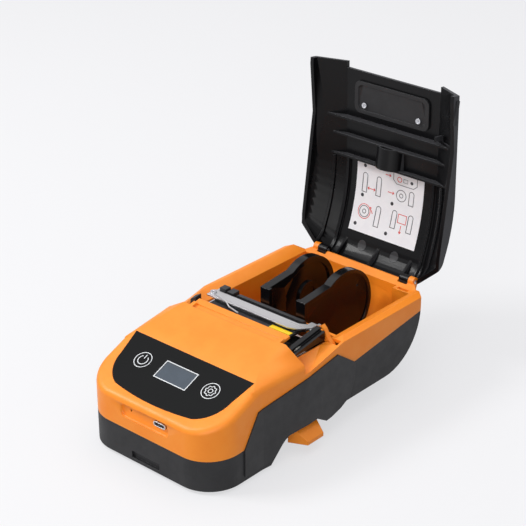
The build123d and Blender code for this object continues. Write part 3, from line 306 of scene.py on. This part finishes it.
def makeLidFinish(look):
    # charcoal ABS, sparked and matte outside, polished inside; its inside colour is darkened as
    # painted shade of the hollow and its outside colour lightened as painted light. A face is an
    # inner one where its normal points to the hollow's middle: the product of the normal and the
    # way from it is below 0
    finish, tree = startFinish("charcoalAbsPaintedLightAndShade")
    place = addNode(tree, "ShaderNodeTexCoord")
    away = addNode(tree, "ShaderNodeVectorMath", {"operation": "SUBTRACT", 1: look["hollow"]},
                   {0: (place, "Object")})
    side = addNode(tree, "ShaderNodeVectorMath", {"operation": "DOT_PRODUCT"},
                   {0: (place, "Normal"), 1: (away, 0)})
    outside = addNode(tree, "ShaderNodeMath", {"operation": "GREATER_THAN", 1: 0.0},
                      {0: (side, "Value")})
    grain = addNode(tree, "ShaderNodeTexNoise",
                    {"Scale": 1 / (look["grain"] * mm), "Detail": patterns["grainDetail"]},
                    {"Vector": (place, "Object")})
    patches = addNode(tree, "ShaderNodeTexNoise",
                      {"Scale": 1 / (look["patch"] * mm), "Detail": patterns["patchDetail"]},
                      {"Vector": (place, "Object")})
    low, high = patterns["uneven"]
    sway = addNode(tree, "ShaderNodeMapRange",
                   {1: low, 2: high, 3: -look["vary"], 4: look["vary"]}, {0: (patches, 0)})
    level = addNode(tree, "ShaderNodeMapRange",
                    {1: 0.0, 2: 1.0, 3: look["innerRough"], 4: look["outerRough"]},
                    {0: (outside, 0)})
    rough = addNode(tree, "ShaderNodeMath", {"operation": "ADD"}, {0: (level, 0), 1: (sway, 0)})
    # the inner and outer colours: painted shade inside the hollow, painted light outside
    colour = addNode(tree, "ShaderNodeMix",
                     {"data_type": "RGBA", 6: toLinear(look["inner"]), 7: toLinear(look["outer"])},
                     {0: (outside, 0)})
    rounded, rub = edgeRub(tree, look["edge"], look["wear"])
    worn = addNode(tree, "ShaderNodeMix", {"data_type": "RGBA", 7: toLinear(look["rubbed"])},
                   {0: (rub, 0), 6: (colour, 2)})
    strength = addNode(tree, "ShaderNodeMapRange",
                       {1: 0.0, 2: 1.0, 3: look["innerBump"], 4: look["outerBump"]},
                       {0: (outside, 0)})
    bump = addNode(tree, "ShaderNodeBump", {"Distance": look["depth"] * mm},
                   {"Strength": (strength, 0), "Height": (grain, 0), "Normal": (rounded, 0)})
    skin = addNode(tree, "ShaderNodeBsdfPrincipled", {"IOR": look["ior"]},
                   {"Base Color": (worn, 2), "Roughness": (rough, 0), "Normal": (bump, 0)})
    addNode(tree, "ShaderNodeOutputMaterial", None, {"Surface": (skin, 0)})
    return finish


finishes["charcoalAbsPaintedLightAndShade"] = makeLidFinish(lidLook)
print("finishes made:", len(finishes))

dressing = [  # finish, the record's slot, nodes
    ("orangeAbsSatin", "orange_shell", ["top_case", "latch_lever"]),
    ("charcoalAbsMatte", "dark_shell", ["bottom_case", "battery_cover", "lid_insert"]),
    ("charcoalAbsPaintedLightAndShade", "dark_shell", ["lid"]),
    ("inlayPanelMatte", "dark_panel", ["side_panel_right", "side_panel_left", "lid_plunger"]),
    ("blackAbsPolished", "black_gloss", ["roll_guide_right", "roll_guide_left", "gear_cover"]),
    ("polyesterOverlay", "panel_film", ["control_panel"]),
    ("acetalWhite", "white_acetal", [
        "guide_rack_right", "guide_rack_left", "rack_pinion", "platen_gear", "idler_gear",
        "motor_pinion", "platen_bushes"]),
    ("pressedSteelSatin", "steel", [
        "mech_frame", "head_bracket", "usb_socket", "platen_shaft", "motor_shaft", "rack_pin",
        "idler_pin", "latch_pin", "latch_spring", "head_spring", "head_pin", "plunger_spring",
        "touch_springs", "battery_cover_pin", "hinge_pins"]),
    ("zincBright", "zinc_screw", ["bracket_screw", "case_screws", "lid_screws"]),
    ("drawnSteelCan", "motor_can", ["stepper_motor"]),
    # the heat sink's dark colour is painted shade of the gap under the bracket
    ("darkAluminiumPaintedShade", "head_aluminium", ["heat_sink"]),
    ("glazedCeramic", "head_ceramic", ["print_head"]),
    ("siliconeRubberBlack", "foot_rubber", ["rubber_feet", "lid_bumper"]),
    ("filledNylonBlack", "black_plastic", ["entry_bar", "sensor_blocks", "lid_switch"]),
    ("coatedPaperYellow", "yellow_strip", ["caution_strip"]),
    ("coatedPaperWhite", "paper_label", ["instruction_sheet"]),
    ("solderMaskGreen", "circuit_board", ["main_board", "key_board"]),
    ("displayGlassGrey", "display_glass", ["display_module"]),
    ("shrinkSleeveBlue", "battery_wrap", ["battery_pack"]),
    ("siliconeRubberBlack", "platen_rubber", ["platen_roller"]),
]
bodies = frame["record"]["behaviour"]["bodies"]
bodyOf = {node: body for body, members in bodies.items() for node in members}
smoothing = {  # degrees and mm
    "sharpAbove": 19, "lidSharpAbove": 9, "flatsWeight": 80,
    "mergeWithin": 0.001, "ownMergeWithin": 0.002,
}


def dressNode(node, finish):
    # a copy of the node's mesh in which rounded faces shade smooth and flats stay flat. The lid's
    # inner bands meet at small angles and each mirrors on its own, so it has a lower limit
    mesh = nodes[node].data.copy()
    mesh.name = node + "_smooth"
    mendMesh(mesh, smoothing["mergeWithin"])
    mesh.polygons.foreach_set("use_smooth", np.ones(len(mesh.polygons), bool))
    sharpAbove = smoothing["lidSharpAbove" if node == "lid" else "sharpAbove"]
    mesh.set_sharp_from_angle(angle=math.radians(sharpAbove))
    mesh.materials.clear()
    mesh.materials.append(finishes[finish])
    piece = addObject(node + "_smooth", mesh)
    if node != "lid":
        flats = piece.modifiers.new("flats", "WEIGHTED_NORMAL")
        flats.keep_sharp = True
        flats.weight = smoothing["flatsWeight"]
    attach(piece, bodyOf[node])
    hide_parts(node)
    return piece


pieces = {node: dressNode(node, finish) for finish, slot, group in dressing for node in group}
print("nodes dressed:", len(pieces), "left over:", sorted(set(nodes) - set(pieces)))

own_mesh(pieces["plunger_spring"])

crossLook = {  # mm: the recess's width across its arms and its depth, for each kind of screw
    "bracket": (2.1, 0.7), "lid": (2.0, 0.45), "case": (3.0, 0.98),
    "armsPerWidth": 4.5,  # how many arms' widths go into the width across
    "floor": 0.62,  # the floor's size against the mouth's
    "above": 0.4,  # how far the cutter stands out of the head
    "lidHeadRadius": 1.6, "lidHeadInset": 0.25,
}


def cutCross(piece, centre, direction, size, depth):
    # a plus sign of four arms, smaller at its floor: a point is the centre, plus u across, plus v
    # beside, plus h along the direction that the screw's head faces
    aim = Vector(direction).normalized()
    across = aim.orthogonal().normalized()
    beside = aim.cross(across)
    arm, half = size / 2, size / crossLook["armsPerWidth"] / 2
    mouth = np.array([(arm, -half), (arm, half), (half, half), (half, arm), (-half, arm),
                      (-half, half), (-arm, half), (-arm, -half), (-half, -half), (-half, -arm),
                      (half, -arm), (half, -half)])
    count = len(mouth)
    u, v = np.vstack([mouth, mouth * crossLook["floor"]]).T
    h = np.repeat([crossLook["above"], -depth], count)
    points = np.array(centre) + np.outer(u, across) + np.outer(v, beside) + np.outer(h, aim)
    here = np.arange(count)
    after = (here + 1) % count
    walls = np.column_stack([here, after, count + after, count + here])
    faces = walls.tolist() + [here[::-1].tolist(), (count + here).tolist()]
    cutter = addObject("cross", closedMesh("cross", points * mm, faces))
    recess = piece.modifiers.new("recess", "BOOLEAN")
    recess.operation = "DIFFERENCE"
    recess.solver = "EXACT"
    recess.object = cutter
    cut = workedMesh(piece)
    piece.modifiers.clear()
    piece.data = cut
    bpy.data.objects.remove(cutter)
    cut.set_sharp_from_angle(angle=math.radians(smoothing["sharpAbove"]))


openTurn = {"y": 90.0, "z": 53.0, "cosine": -0.1392, "sine": 0.9903}  # hinge line in mm, 98 degrees


def openLid(x, y, z):
    # from the closed lid's place to the open one. With dy and dz from the hinge line, y is
    # cosine times dy plus sine times dz, and z is minus sine times dy plus cosine times dz
    dy, dz = y - openTurn["y"], z - openTurn["z"]
    return (x, openTurn["y"] + openTurn["cosine"] * dy + openTurn["sine"] * dz,
            openTurn["z"] - openTurn["sine"] * dy + openTurn["cosine"] * dz)


low, high = (np.array(corner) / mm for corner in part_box("bracket_screw"))
headTop = ((low[0] + high[0]) / 2, (low[1] + high[1]) / 2, high[2])
cutCross(pieces["bracket_screw"], headTop, (0, 0, 1), *crossLook["bracket"])

low, high = (np.array(corner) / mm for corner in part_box("lid_screws"))
intoHollow = (0, -openTurn["sine"], -openTurn["cosine"])  # the way the open lid's inside faces
for side in (-1, 1):
    headTop = (side * (high[0] - crossLook["lidHeadRadius"]), low[1] + crossLook["lidHeadInset"],
               (low[2] + high[2]) / 2)
    cutCross(pieces["lid_screws"], headTop, intoHollow, *crossLook["lid"])

corners = pointsOf(nodes["case_screws"].data) / mm
middle = (corners.min(0) + corners.max(0)) / 2
for side in (-1, 1):
    for end in (-1, 1):
        quarter = np.sign(corners[:, :2] - middle[:2]) == (side, end)
        one = corners[quarter.all(1)]
        low, high = one.min(0), one.max(0)
        headTop = ((low[0] + high[0]) / 2, (low[1] + high[1]) / 2, low[2])
        cutCross(pieces["case_screws"], headTop, (0, 0, -1), *crossLook["case"])
print("cross recesses cut")


def ribbon(points, width, closed):
    # both edges of a strip along the path: half the width along the path's normal, and more in a
    # corner, by one over the cosine of half its turn, up to twice
    path = np.array(points, float)
    if closed:
        ahead, behind = np.roll(path, -1, 0) - path, path - np.roll(path, 1, 0)
    else:
        step = np.diff(path, axis=0)
        ahead, behind = np.vstack([step, step[-1:]]), np.vstack([step[:1], step])
    ahead = ahead / np.linalg.norm(ahead, axis=1)[:, None]
    behind = behind / np.linalg.norm(behind, axis=1)[:, None]
    along = ahead + behind
    along = along / np.linalg.norm(along, axis=1)[:, None]
    normal = np.stack([-along[:, 1], along[:, 0]], 1)
    squareOn = np.stack([-ahead[:, 1], ahead[:, 0]], 1)
    reach = width / 2 / np.maximum(0.5, np.sum(normal * squareOn, 1))
    return path + normal * reach[:, None], path - normal * reach[:, None]


def layPrint(name, strokes, place, lift, thick, finish, body, slot=None):
    # each stroke is a thin bar with four points at every step of its path: left and right below,
    # right and left above. The place function carries them all onto the piece, in mm
    points, faces, start = [], [], 0
    for path, width, closed in strokes:
        left, right = ribbon(path, width, closed)
        ring = ((left, lift - thick), (right, lift - thick), (right, lift), (left, lift))
        rows = np.stack([np.column_stack([edge, np.full(len(edge), h)]) for edge, h in ring], 1)
        count = len(rows)
        points.append(rows.reshape(-1, 3))
        i = np.arange(count if closed else count - 1)[:, None]
        j = (i + 1) % count
        k = np.arange(4)
        m = (k + 1) % 4
        quads = start + np.stack([i * 4 + k, i * 4 + m, j * 4 + m, j * 4 + k], 2)
        faces += quads.reshape(-1, 4).tolist()
        if not closed:
            faces += [(start + k[::-1]).tolist(), (start + 4 * (count - 1) + k).tolist()]
        start += 4 * count
    flat = np.vstack(points)
    placed = np.stack(place(flat[:, 0], flat[:, 1], flat[:, 2]), 1) * mm
    mesh = closedMesh(name, placed, faces)
    mesh.materials.append(finishes[finish])
    pieces[name] = addObject(name, mesh)
    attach(pieces[name], body)


def circle(u, v, radius, start=0, end=360, lobes=0, lobe=0.0, steps=72):
    # a circle's arc in degrees, its radius rising and falling once for each lobe
    turn = np.radians(np.linspace(start, end, steps, endpoint=(end - start) < 360))
    reach = radius + lobe * np.cos(lobes * turn)
    return np.stack([u + reach * np.cos(turn), v + reach * np.sin(turn)], 1)


def disc(u, v, radius):
    # a ring as wide as the disc's radius closes at its middle
    return circle(u, v, radius / 2, steps=40), radius, True


def bar(u0, v0, u1, v1, width):
    # a straight stroke from one point to the other
    return [(u0, v0), (u1, v1)], width, False


panelLook = {  # mm
    "rise": 0.419, "foot": (-52.7, 52.0),  # the overlay's slope, and a y and z on its face
    "row": -66.0, "reach": 24.25,  # the keys' y, and how far they stand from the middle
    "ring": 5.0, "line": 0.42,
    "powerArc": (2.9, 125, 415), "arcLine": 0.483, "powerBar": (0.9, 3.7), "barLine": 0.504,
    "gear": 2.95, "teeth": 8, "tooth": 0.32, "gearSteps": 96,
    "hub": 1.25, "hubLine": 0.378, "hubSteps": 40,
    "window": (11.05, 5.53, -5.96), "windowLine": 0.5,  # half its width, its top and its bottom
    "paneInset": 0.2, "paintedShadeInset": (0.75, 0.3), "paintedShadeLine": 1.0,
    "ink": (0.07, 0.12), "pane": (0.05, 0.1), "paintedShade": (0.06, 0.1),  # lift and thickness
}
slope = math.atan(panelLook["rise"])


def onPanel(u, v, h):
    # u across, v up the slope from the keys' row, h off the overlay's face
    footY, footZ = panelLook["foot"]
    rowZ = footZ + panelLook["rise"] * (panelLook["row"] - footY)
    return (u, panelLook["row"] + v * math.cos(slope) - h * math.sin(slope),
            rowZ + v * math.sin(slope) + h * math.cos(slope))


reach, line = panelLook["reach"], panelLook["line"]
halfWide, top, bottom = panelLook["window"]
arcRadius, arcStart, arcEnd = panelLook["powerArc"]
barLow, barHigh = panelLook["powerBar"]
windowCorners = [(-halfWide, bottom), (halfWide, bottom), (halfWide, top), (-halfWide, top)]
keyStrokes = [
    (circle(-reach, 0, panelLook["ring"]), line, True),
    (circle(-reach, 0, arcRadius, arcStart, arcEnd), panelLook["arcLine"], False),
    bar(-reach, barLow, -reach, barHigh, panelLook["barLine"]),
    (circle(reach, 0, panelLook["ring"]), line, True),
    (circle(reach, 0, panelLook["gear"], lobes=panelLook["teeth"], lobe=panelLook["tooth"],
            steps=panelLook["gearSteps"]), line, True),
    (circle(reach, 0, panelLook["hub"], steps=panelLook["hubSteps"]), panelLook["hubLine"], True),
    (windowCorners, panelLook["windowLine"], True),
]
layPrint("panel_prints", keyStrokes, onPanel, *panelLook["ink"], "screenInkWhite", "case")

inset = panelLook["paneInset"]
paneMiddle = (top + bottom) / 2
paneStroke = bar(-halfWide + inset, paneMiddle, halfWide - inset, paneMiddle,
                 top - bottom - 2 * inset)
layPrint("display_pane", [paneStroke], onPanel, *panelLook["pane"], "slatePaneGloss", "case",
         "display_glass")
# the band along the pane's upper and left border is painted shade from the window's rim
deep, shallow = panelLook["paintedShadeInset"]
paintedShadePath = [(-halfWide + deep, bottom + shallow), (-halfWide + deep, top - deep),
              (halfWide - shallow, top - deep)]
layPrint("display_pane_painted_shade", [(paintedShadePath, panelLook["paintedShadeLine"], False)], onPanel,
         *panelLook["paintedShade"], "slatePaneEdge", "case")
print("panel printed")

sheetLook = {  # mm
    "left": -24.0, "top": 36.2, "wide": 48.0, "tall": 41.8, "paper": 0.25,
    "ceiling": ((36.0, 68.0), (62.0, 69.0), (82.0, 65.3)),  # three points of the closed lid's arc
    "lift": 0.07, "redLift": 0.08, "thick": 0.11,
    "line": 0.4, "panelLine": 0.35, "keyLine": 0.25, "arrowLine": 0.45,
    "barb": 1.3, "barbTurn": 0.7,  # a barb's length, and its turn in radians
    "guideHalf": 0.034, "guideSteps": 14, "rollHole": 1.2, "holeSteps": 36,
}
sheetDrawing = {  # places are fractions of the sheet, across and down; radii are in mm
    "guides": [(0.13, 0.15, 0.43), (0.34, 0.15, 0.43), (0.38, 0.57, 0.86), (0.62, 0.55, 0.8),
               (0.86, 0.55, 0.8), (0.83, 0.22, 0.42)],
    "rolls": [(0.175, 0.7, 3.3), (0.68, 0.32, 3.4)],
    "panel": [(0.55, 0.015), (0.55, 0.12), (0.60, 0.17), (0.85, 0.17), (0.90, 0.12), (0.90, 0.015)],
    "key": [(0.70, 0.07), (0.76, 0.07), (0.76, 0.12), (0.70, 0.12)],
    "spots": [(0.12, 0.045, 1.1), (0.11, 0.48, 1.1), (0.08, 0.9, 1.1), (0.56, 0.47, 1.1),
              (0.55, 0.9, 1.1), (0.82, 0.095, 1.0)],
    "twoWayArrow": (0.18, 0.36, 0.29, 0.36),
    "arrows": [(0.43, 0.08, 0.51, 0.08), (0.48, 0.32, 0.57, 0.32), (0.74, 0.73, 0.74, 0.84),
               (0.30, 0.70, 0.25, 0.62)],
    "redRings": [(0.64, 0.095, 1.5, 40), (0.175, 0.7, 4.3, 72)],  # the last is the steps
    "redLabel": [(0.68, 0.58), (0.80, 0.58), (0.80, 0.70), (0.68, 0.70)],
}


def sheetRise(y):
    # the ceiling is the circle through the three points, with its middle where their
    # perpendiculars cross, and the sheet's face lies a paper's thickness below it
    a, b, c = sheetLook["ceiling"]
    d = 2 * (a[0] * (b[1] - c[1]) + b[0] * (c[1] - a[1]) + c[0] * (a[1] - b[1]))
    sa, sb, sc = (p[0] ** 2 + p[1] ** 2 for p in (a, b, c))
    middleY = (sa * (b[1] - c[1]) + sb * (c[1] - a[1]) + sc * (a[1] - b[1])) / d
    middleZ = (sa * (c[0] - b[0]) + sb * (a[0] - c[0]) + sc * (b[0] - a[0])) / d
    radius = math.hypot(a[0] - middleY, a[1] - middleZ)
    return middleZ + np.sqrt(radius ** 2 - (y - middleY) ** 2) - sheetLook["paper"]


def onSheet(u, v, h):
    # u from the sheet's left edge, v down from its top edge, h off its face, on the open lid
    y = sheetLook["top"] + v
    return openLid(sheetLook["left"] + u, y, sheetRise(y) - h)


def spot(s, t):
    # fractions of the sheet, across and down, to mm from its left and top edges
    return s * sheetLook["wide"], t * sheetLook["tall"]


def outline(places, width, closed=True):
    # straight lines from place to place, and back to the first one where it is closed
    return [spot(s, t) for s, t in places], width, closed


def guideOutline(s, top, bottom):
    # a roll guide seen on edge: straight sides and a half circle as its head
    u0, v0 = spot(s - sheetLook["guideHalf"], bottom)
    u1, v1 = spot(s + sheetLook["guideHalf"], top)
    radius = (u1 - u0) / 2
    turn = np.radians(np.linspace(180, 360, sheetLook["guideSteps"]))
    head = np.stack([(u0 + u1) / 2 + radius * np.cos(turn), v1 + radius + radius * np.sin(turn)], 1)
    return np.vstack([[(u0, v0)], head, [(u1, v0)]]), sheetLook["line"], True


def arrow(s0, t0, s1, t1, twoWay=False):
    # a shaft and two barbs turned back from its aim, at one end or both
    u0, v0 = spot(s0, t0)
    u1, v1 = spot(s1, t1)
    aim = math.atan2(v1 - v0, u1 - u0)
    line, barb = sheetLook["arrowLine"], sheetLook["barb"]
    strokes = [bar(u0, v0, u1, v1, line)]
    for u, v, way in [(u1, v1, aim)] + ([(u0, v0, aim + math.pi)] if twoWay else []):
        turns = (way - sheetLook["barbTurn"], way + sheetLook["barbTurn"])
        tips = [(u - barb * math.cos(turn), v - barb * math.sin(turn)) for turn in turns]
        strokes.append(([tips[0], (u, v), tips[1]], line, False))
    return strokes


line = sheetLook["line"]
greyStrokes = [guideOutline(*place) for place in sheetDrawing["guides"]]
for s, t, radius in sheetDrawing["rolls"]:
    hole = circle(*spot(s, t), sheetLook["rollHole"], steps=sheetLook["holeSteps"])
    greyStrokes += [(circle(*spot(s, t), radius), line, True), (hole, line, True)]
greyStrokes += [outline(sheetDrawing["panel"], sheetLook["panelLine"], closed=False),
                outline(sheetDrawing["key"], sheetLook["keyLine"])]
blackStrokes = [disc(*spot(s, t), radius) for s, t, radius in sheetDrawing["spots"]]
redStrokes = arrow(*sheetDrawing["twoWayArrow"], twoWay=True)
for place in sheetDrawing["arrows"]:
    redStrokes += arrow(*place)
redStrokes += [(circle(*spot(s, t), radius, steps=steps), line, True)
               for s, t, radius, steps in sheetDrawing["redRings"]]
redStrokes.append(outline(sheetDrawing["redLabel"], line))
lift, thick = sheetLook["lift"], sheetLook["thick"]
layPrint("sheet_outlines", greyStrokes, onSheet, lift, thick, "sheetInkGrey", "lid")
layPrint("sheet_spots", blackStrokes, onSheet, lift, thick, "sheetInkBlack", "lid")
layPrint("sheet_red_marks", redStrokes, onSheet, sheetLook["redLift"], thick, "sheetInkRed", "lid")
print("sheet printed")

ejectorLook = {  # mm
    "at": [(-11.6, 56.5), (12.0, 56.5)], "radius": 2.9, "rings": 3, "steps": 32,
    "thick": 0.18, "sunk": 0.05,
    "from": 98.0,  # the y in the open lid's hollow that the marks are dropped from
}


def dropOntoLid(x, z):
    # every point slides along +Y from the hollow until it meets the lid's mesh
    mesh = bpy.data.meshes.new("drop")
    mesh.from_pydata(np.column_stack([x, np.full(len(x), ejectorLook["from"]), z]) * mm, [], [])
    drop = addObject("drop", mesh)
    slide = drop.modifiers.new("slide", "SHRINKWRAP")
    slide.wrap_method = "PROJECT"
    slide.use_project_y = True
    slide.use_negative_direction = False
    slide.target = pieces["lid"]
    met = pointsOf(workedMesh(drop))
    bpy.data.objects.remove(drop)
    return met


steps, rings = ejectorLook["steps"], ejectorLook["rings"]
turn = np.linspace(0, 2 * math.pi, steps, endpoint=False)
radii = np.linspace(0, ejectorLook["radius"], rings + 1)[1:, None]
here = np.arange(steps)
after = (here + 1) % steps
total = 1 + rings * steps
inner = 1 + steps * np.arange(rings - 1)[:, None]
outer = 1 + steps * (rings - 1)
fan = np.column_stack([np.zeros(steps, int), 1 + here, 1 + after])
bands = np.stack([inner + here, inner + steps + here, inner + steps + after, inner + after], 2)
bands = bands.reshape(-1, 4)
rim = np.column_stack([outer + here, total + outer + here, total + outer + after, outer + after])
ejectorFaces = [face for grid in (fan, bands, total + fan[:, ::-1], total + bands[:, ::-1], rim)
                for face in grid.tolist()]
for number, (middleX, middleZ) in enumerate(ejectorLook["at"], 1):
    # a polar grid, radius times cosine and sine, dropped onto the lid, and the same grid a disc's
    # thickness nearer: the rim and both faces close it
    name = "ejector_mark_%d" % number
    x = np.append(middleX, middleX + radii * np.cos(turn))
    z = np.append(middleZ, middleZ + radii * np.sin(turn))
    met = dropOntoLid(x, z)
    near = met - np.array([0, ejectorLook["thick"], 0]) * mm
    far = met + np.array([0, ejectorLook["sunk"], 0]) * mm
    mesh = closedMesh(name, np.vstack([near, far]), ejectorFaces)
    mesh.materials.append(finishes["filledNylonBlack"])
    pieces[name] = addObject(name, mesh)
    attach(pieces[name], "lid")
print("moulding marks set, pieces in all:", len(pieces))

stageLook = {
    "floor": "#F8F8FA", "bounce": 0.30, "own": 0.66, "reach": 4.0,
    "sky": "#FAFAFC", "lights": 0.42, "mirrored": 0.75, "seen": 0.95,  # the world's levels
}


def makeCardFinish(look):
    # white card: its own brightness is for the camera, mirrors and glass, the rest bounces light
    # and keeps the shadow
    finish, tree = startFinish("whiteCard")
    ray = addNode(tree, "ShaderNodeLightPath")
    seen = addNode(tree, "ShaderNodeMath", {"operation": "MAXIMUM"},
                   {0: (ray, "Is Camera Ray"), 1: (ray, "Is Glossy Ray")})
    through = addNode(tree, "ShaderNodeMath", {"operation": "MAXIMUM"},
                      {0: (seen, 0), 1: (ray, "Is Transmission Ray")})
    level = addNode(tree, "ShaderNodeMath", {"operation": "MULTIPLY", 1: look["own"]},
                    {0: (through, 0)})
    white = toLinear(look["floor"])
    glow = addNode(tree, "ShaderNodeEmission", {"Color": white}, {"Strength": (level, 0)})
    dimmed = tuple(c * look["bounce"] for c in white[:3]) + (1.0,)
    card = addNode(tree, "ShaderNodeBsdfDiffuse", {"Color": dimmed})
    both = addNode(tree, "ShaderNodeAddShader", None, {0: (glow, 0), 1: (card, 0)})
    addNode(tree, "ShaderNodeOutputMaterial", None, {"Surface": (both, 0)})
    return finish


span = stageLook["reach"]
floorMesh = bpy.data.meshes.new("floor")
floorCorners = [(-span, -span, 0), (span, -span, 0), (span, span, 0), (-span, span, 0)]
floorMesh.from_pydata(floorCorners, [], [(0, 1, 2, 3)])
floorMesh.materials.append(makeCardFinish(stageLook))
floor = addObject("floor", floorMesh)

world = bpy.data.worlds.new("studio")
scene.world = world
world.use_nodes = True
tree = world.node_tree
tree.nodes.clear()
ray = addNode(tree, "ShaderNodeLightPath")
seen = addNode(tree, "ShaderNodeMath", {"operation": "MAXIMUM"},
               {0: (ray, "Is Camera Ray"), 1: (ray, "Is Transmission Ray")})
mirrored = addNode(tree, "ShaderNodeMapRange",
                   {1: 0.0, 2: 1.0, 3: stageLook["lights"], 4: stageLook["mirrored"]},
                   {0: (ray, "Is Glossy Ray")})
level = addNode(tree, "ShaderNodeMapRange", {1: 0.0, 2: 1.0, 4: stageLook["seen"]},
                {0: (seen, 0), 3: (mirrored, 0)})
sky = addNode(tree, "ShaderNodeBackground", {"Color": toLinear(stageLook["sky"])},
              {"Strength": (level, 0)})
addNode(tree, "ShaderNodeOutputWorld", None, {"Surface": (sky, 0)})
print("floor and world set")

lamps = {  # place in metres, width and depth, watts
    "overhead": {"at": (-0.10, 0.05, 1.35), "size": (1.8, 1.8), "watts": 9.0},
    "key": {"at": (-0.80, -0.70, 1.05), "size": (0.45, 0.45), "watts": 10.0},
    "fill": {"at": (0.62, -1.05, 0.42), "size": (0.8, 0.8), "watts": 5.2},
}
aimPoint = Vector((0.0, 0.0, 0.06))  # the middle of the case
for name, lamp in lamps.items():
    light = bpy.data.lights.new(name, "AREA")
    light.shape = "RECTANGLE"
    light.size, light.size_y = lamp["size"]
    light.energy = lamp["watts"]
    holder = addObject(name, light)
    holder.location = lamp["at"]
    holder.rotation_euler = (aimPoint - Vector(lamp["at"])).to_track_quat("-Z", "Y").to_euler()
print("lamps set:", len(lamps))

cameraLook = {  # metres, degrees, mm
    "at": (0.5121, -0.5762, 0.4647), "azimuth": 41.55, "elevation": 26.14, "roll": -0.13,
    "lens": 110.57, "sensor": 36.0, "clipStart": 0.01,
}
azimuth, elevation, roll = (
    math.radians(cameraLook[key]) for key in ("azimuth", "elevation", "roll"))
back = Vector((math.sin(azimuth) * math.cos(elevation), -math.cos(azimuth) * math.cos(elevation),
               math.sin(elevation)))
level = Vector((math.cos(azimuth), math.sin(azimuth), 0))
upright = back.cross(level)
sideways = level * math.cos(roll) + upright * math.sin(roll)
upwards = upright * math.cos(roll) - level * math.sin(roll)
cameraData = bpy.data.cameras.new("camera")
cameraData.lens = cameraLook["lens"]
cameraData.sensor_width = cameraLook["sensor"]
cameraData.clip_start = cameraLook["clipStart"]
camera = addObject("camera", cameraData)
turned = Matrix((sideways, upwards, back)).transposed().to_4x4()
camera.matrix_world = Matrix.Translation(cameraLook["at"]) @ turned
scene.camera = camera
scene.view_settings.view_transform = "Standard"
print("camera set")
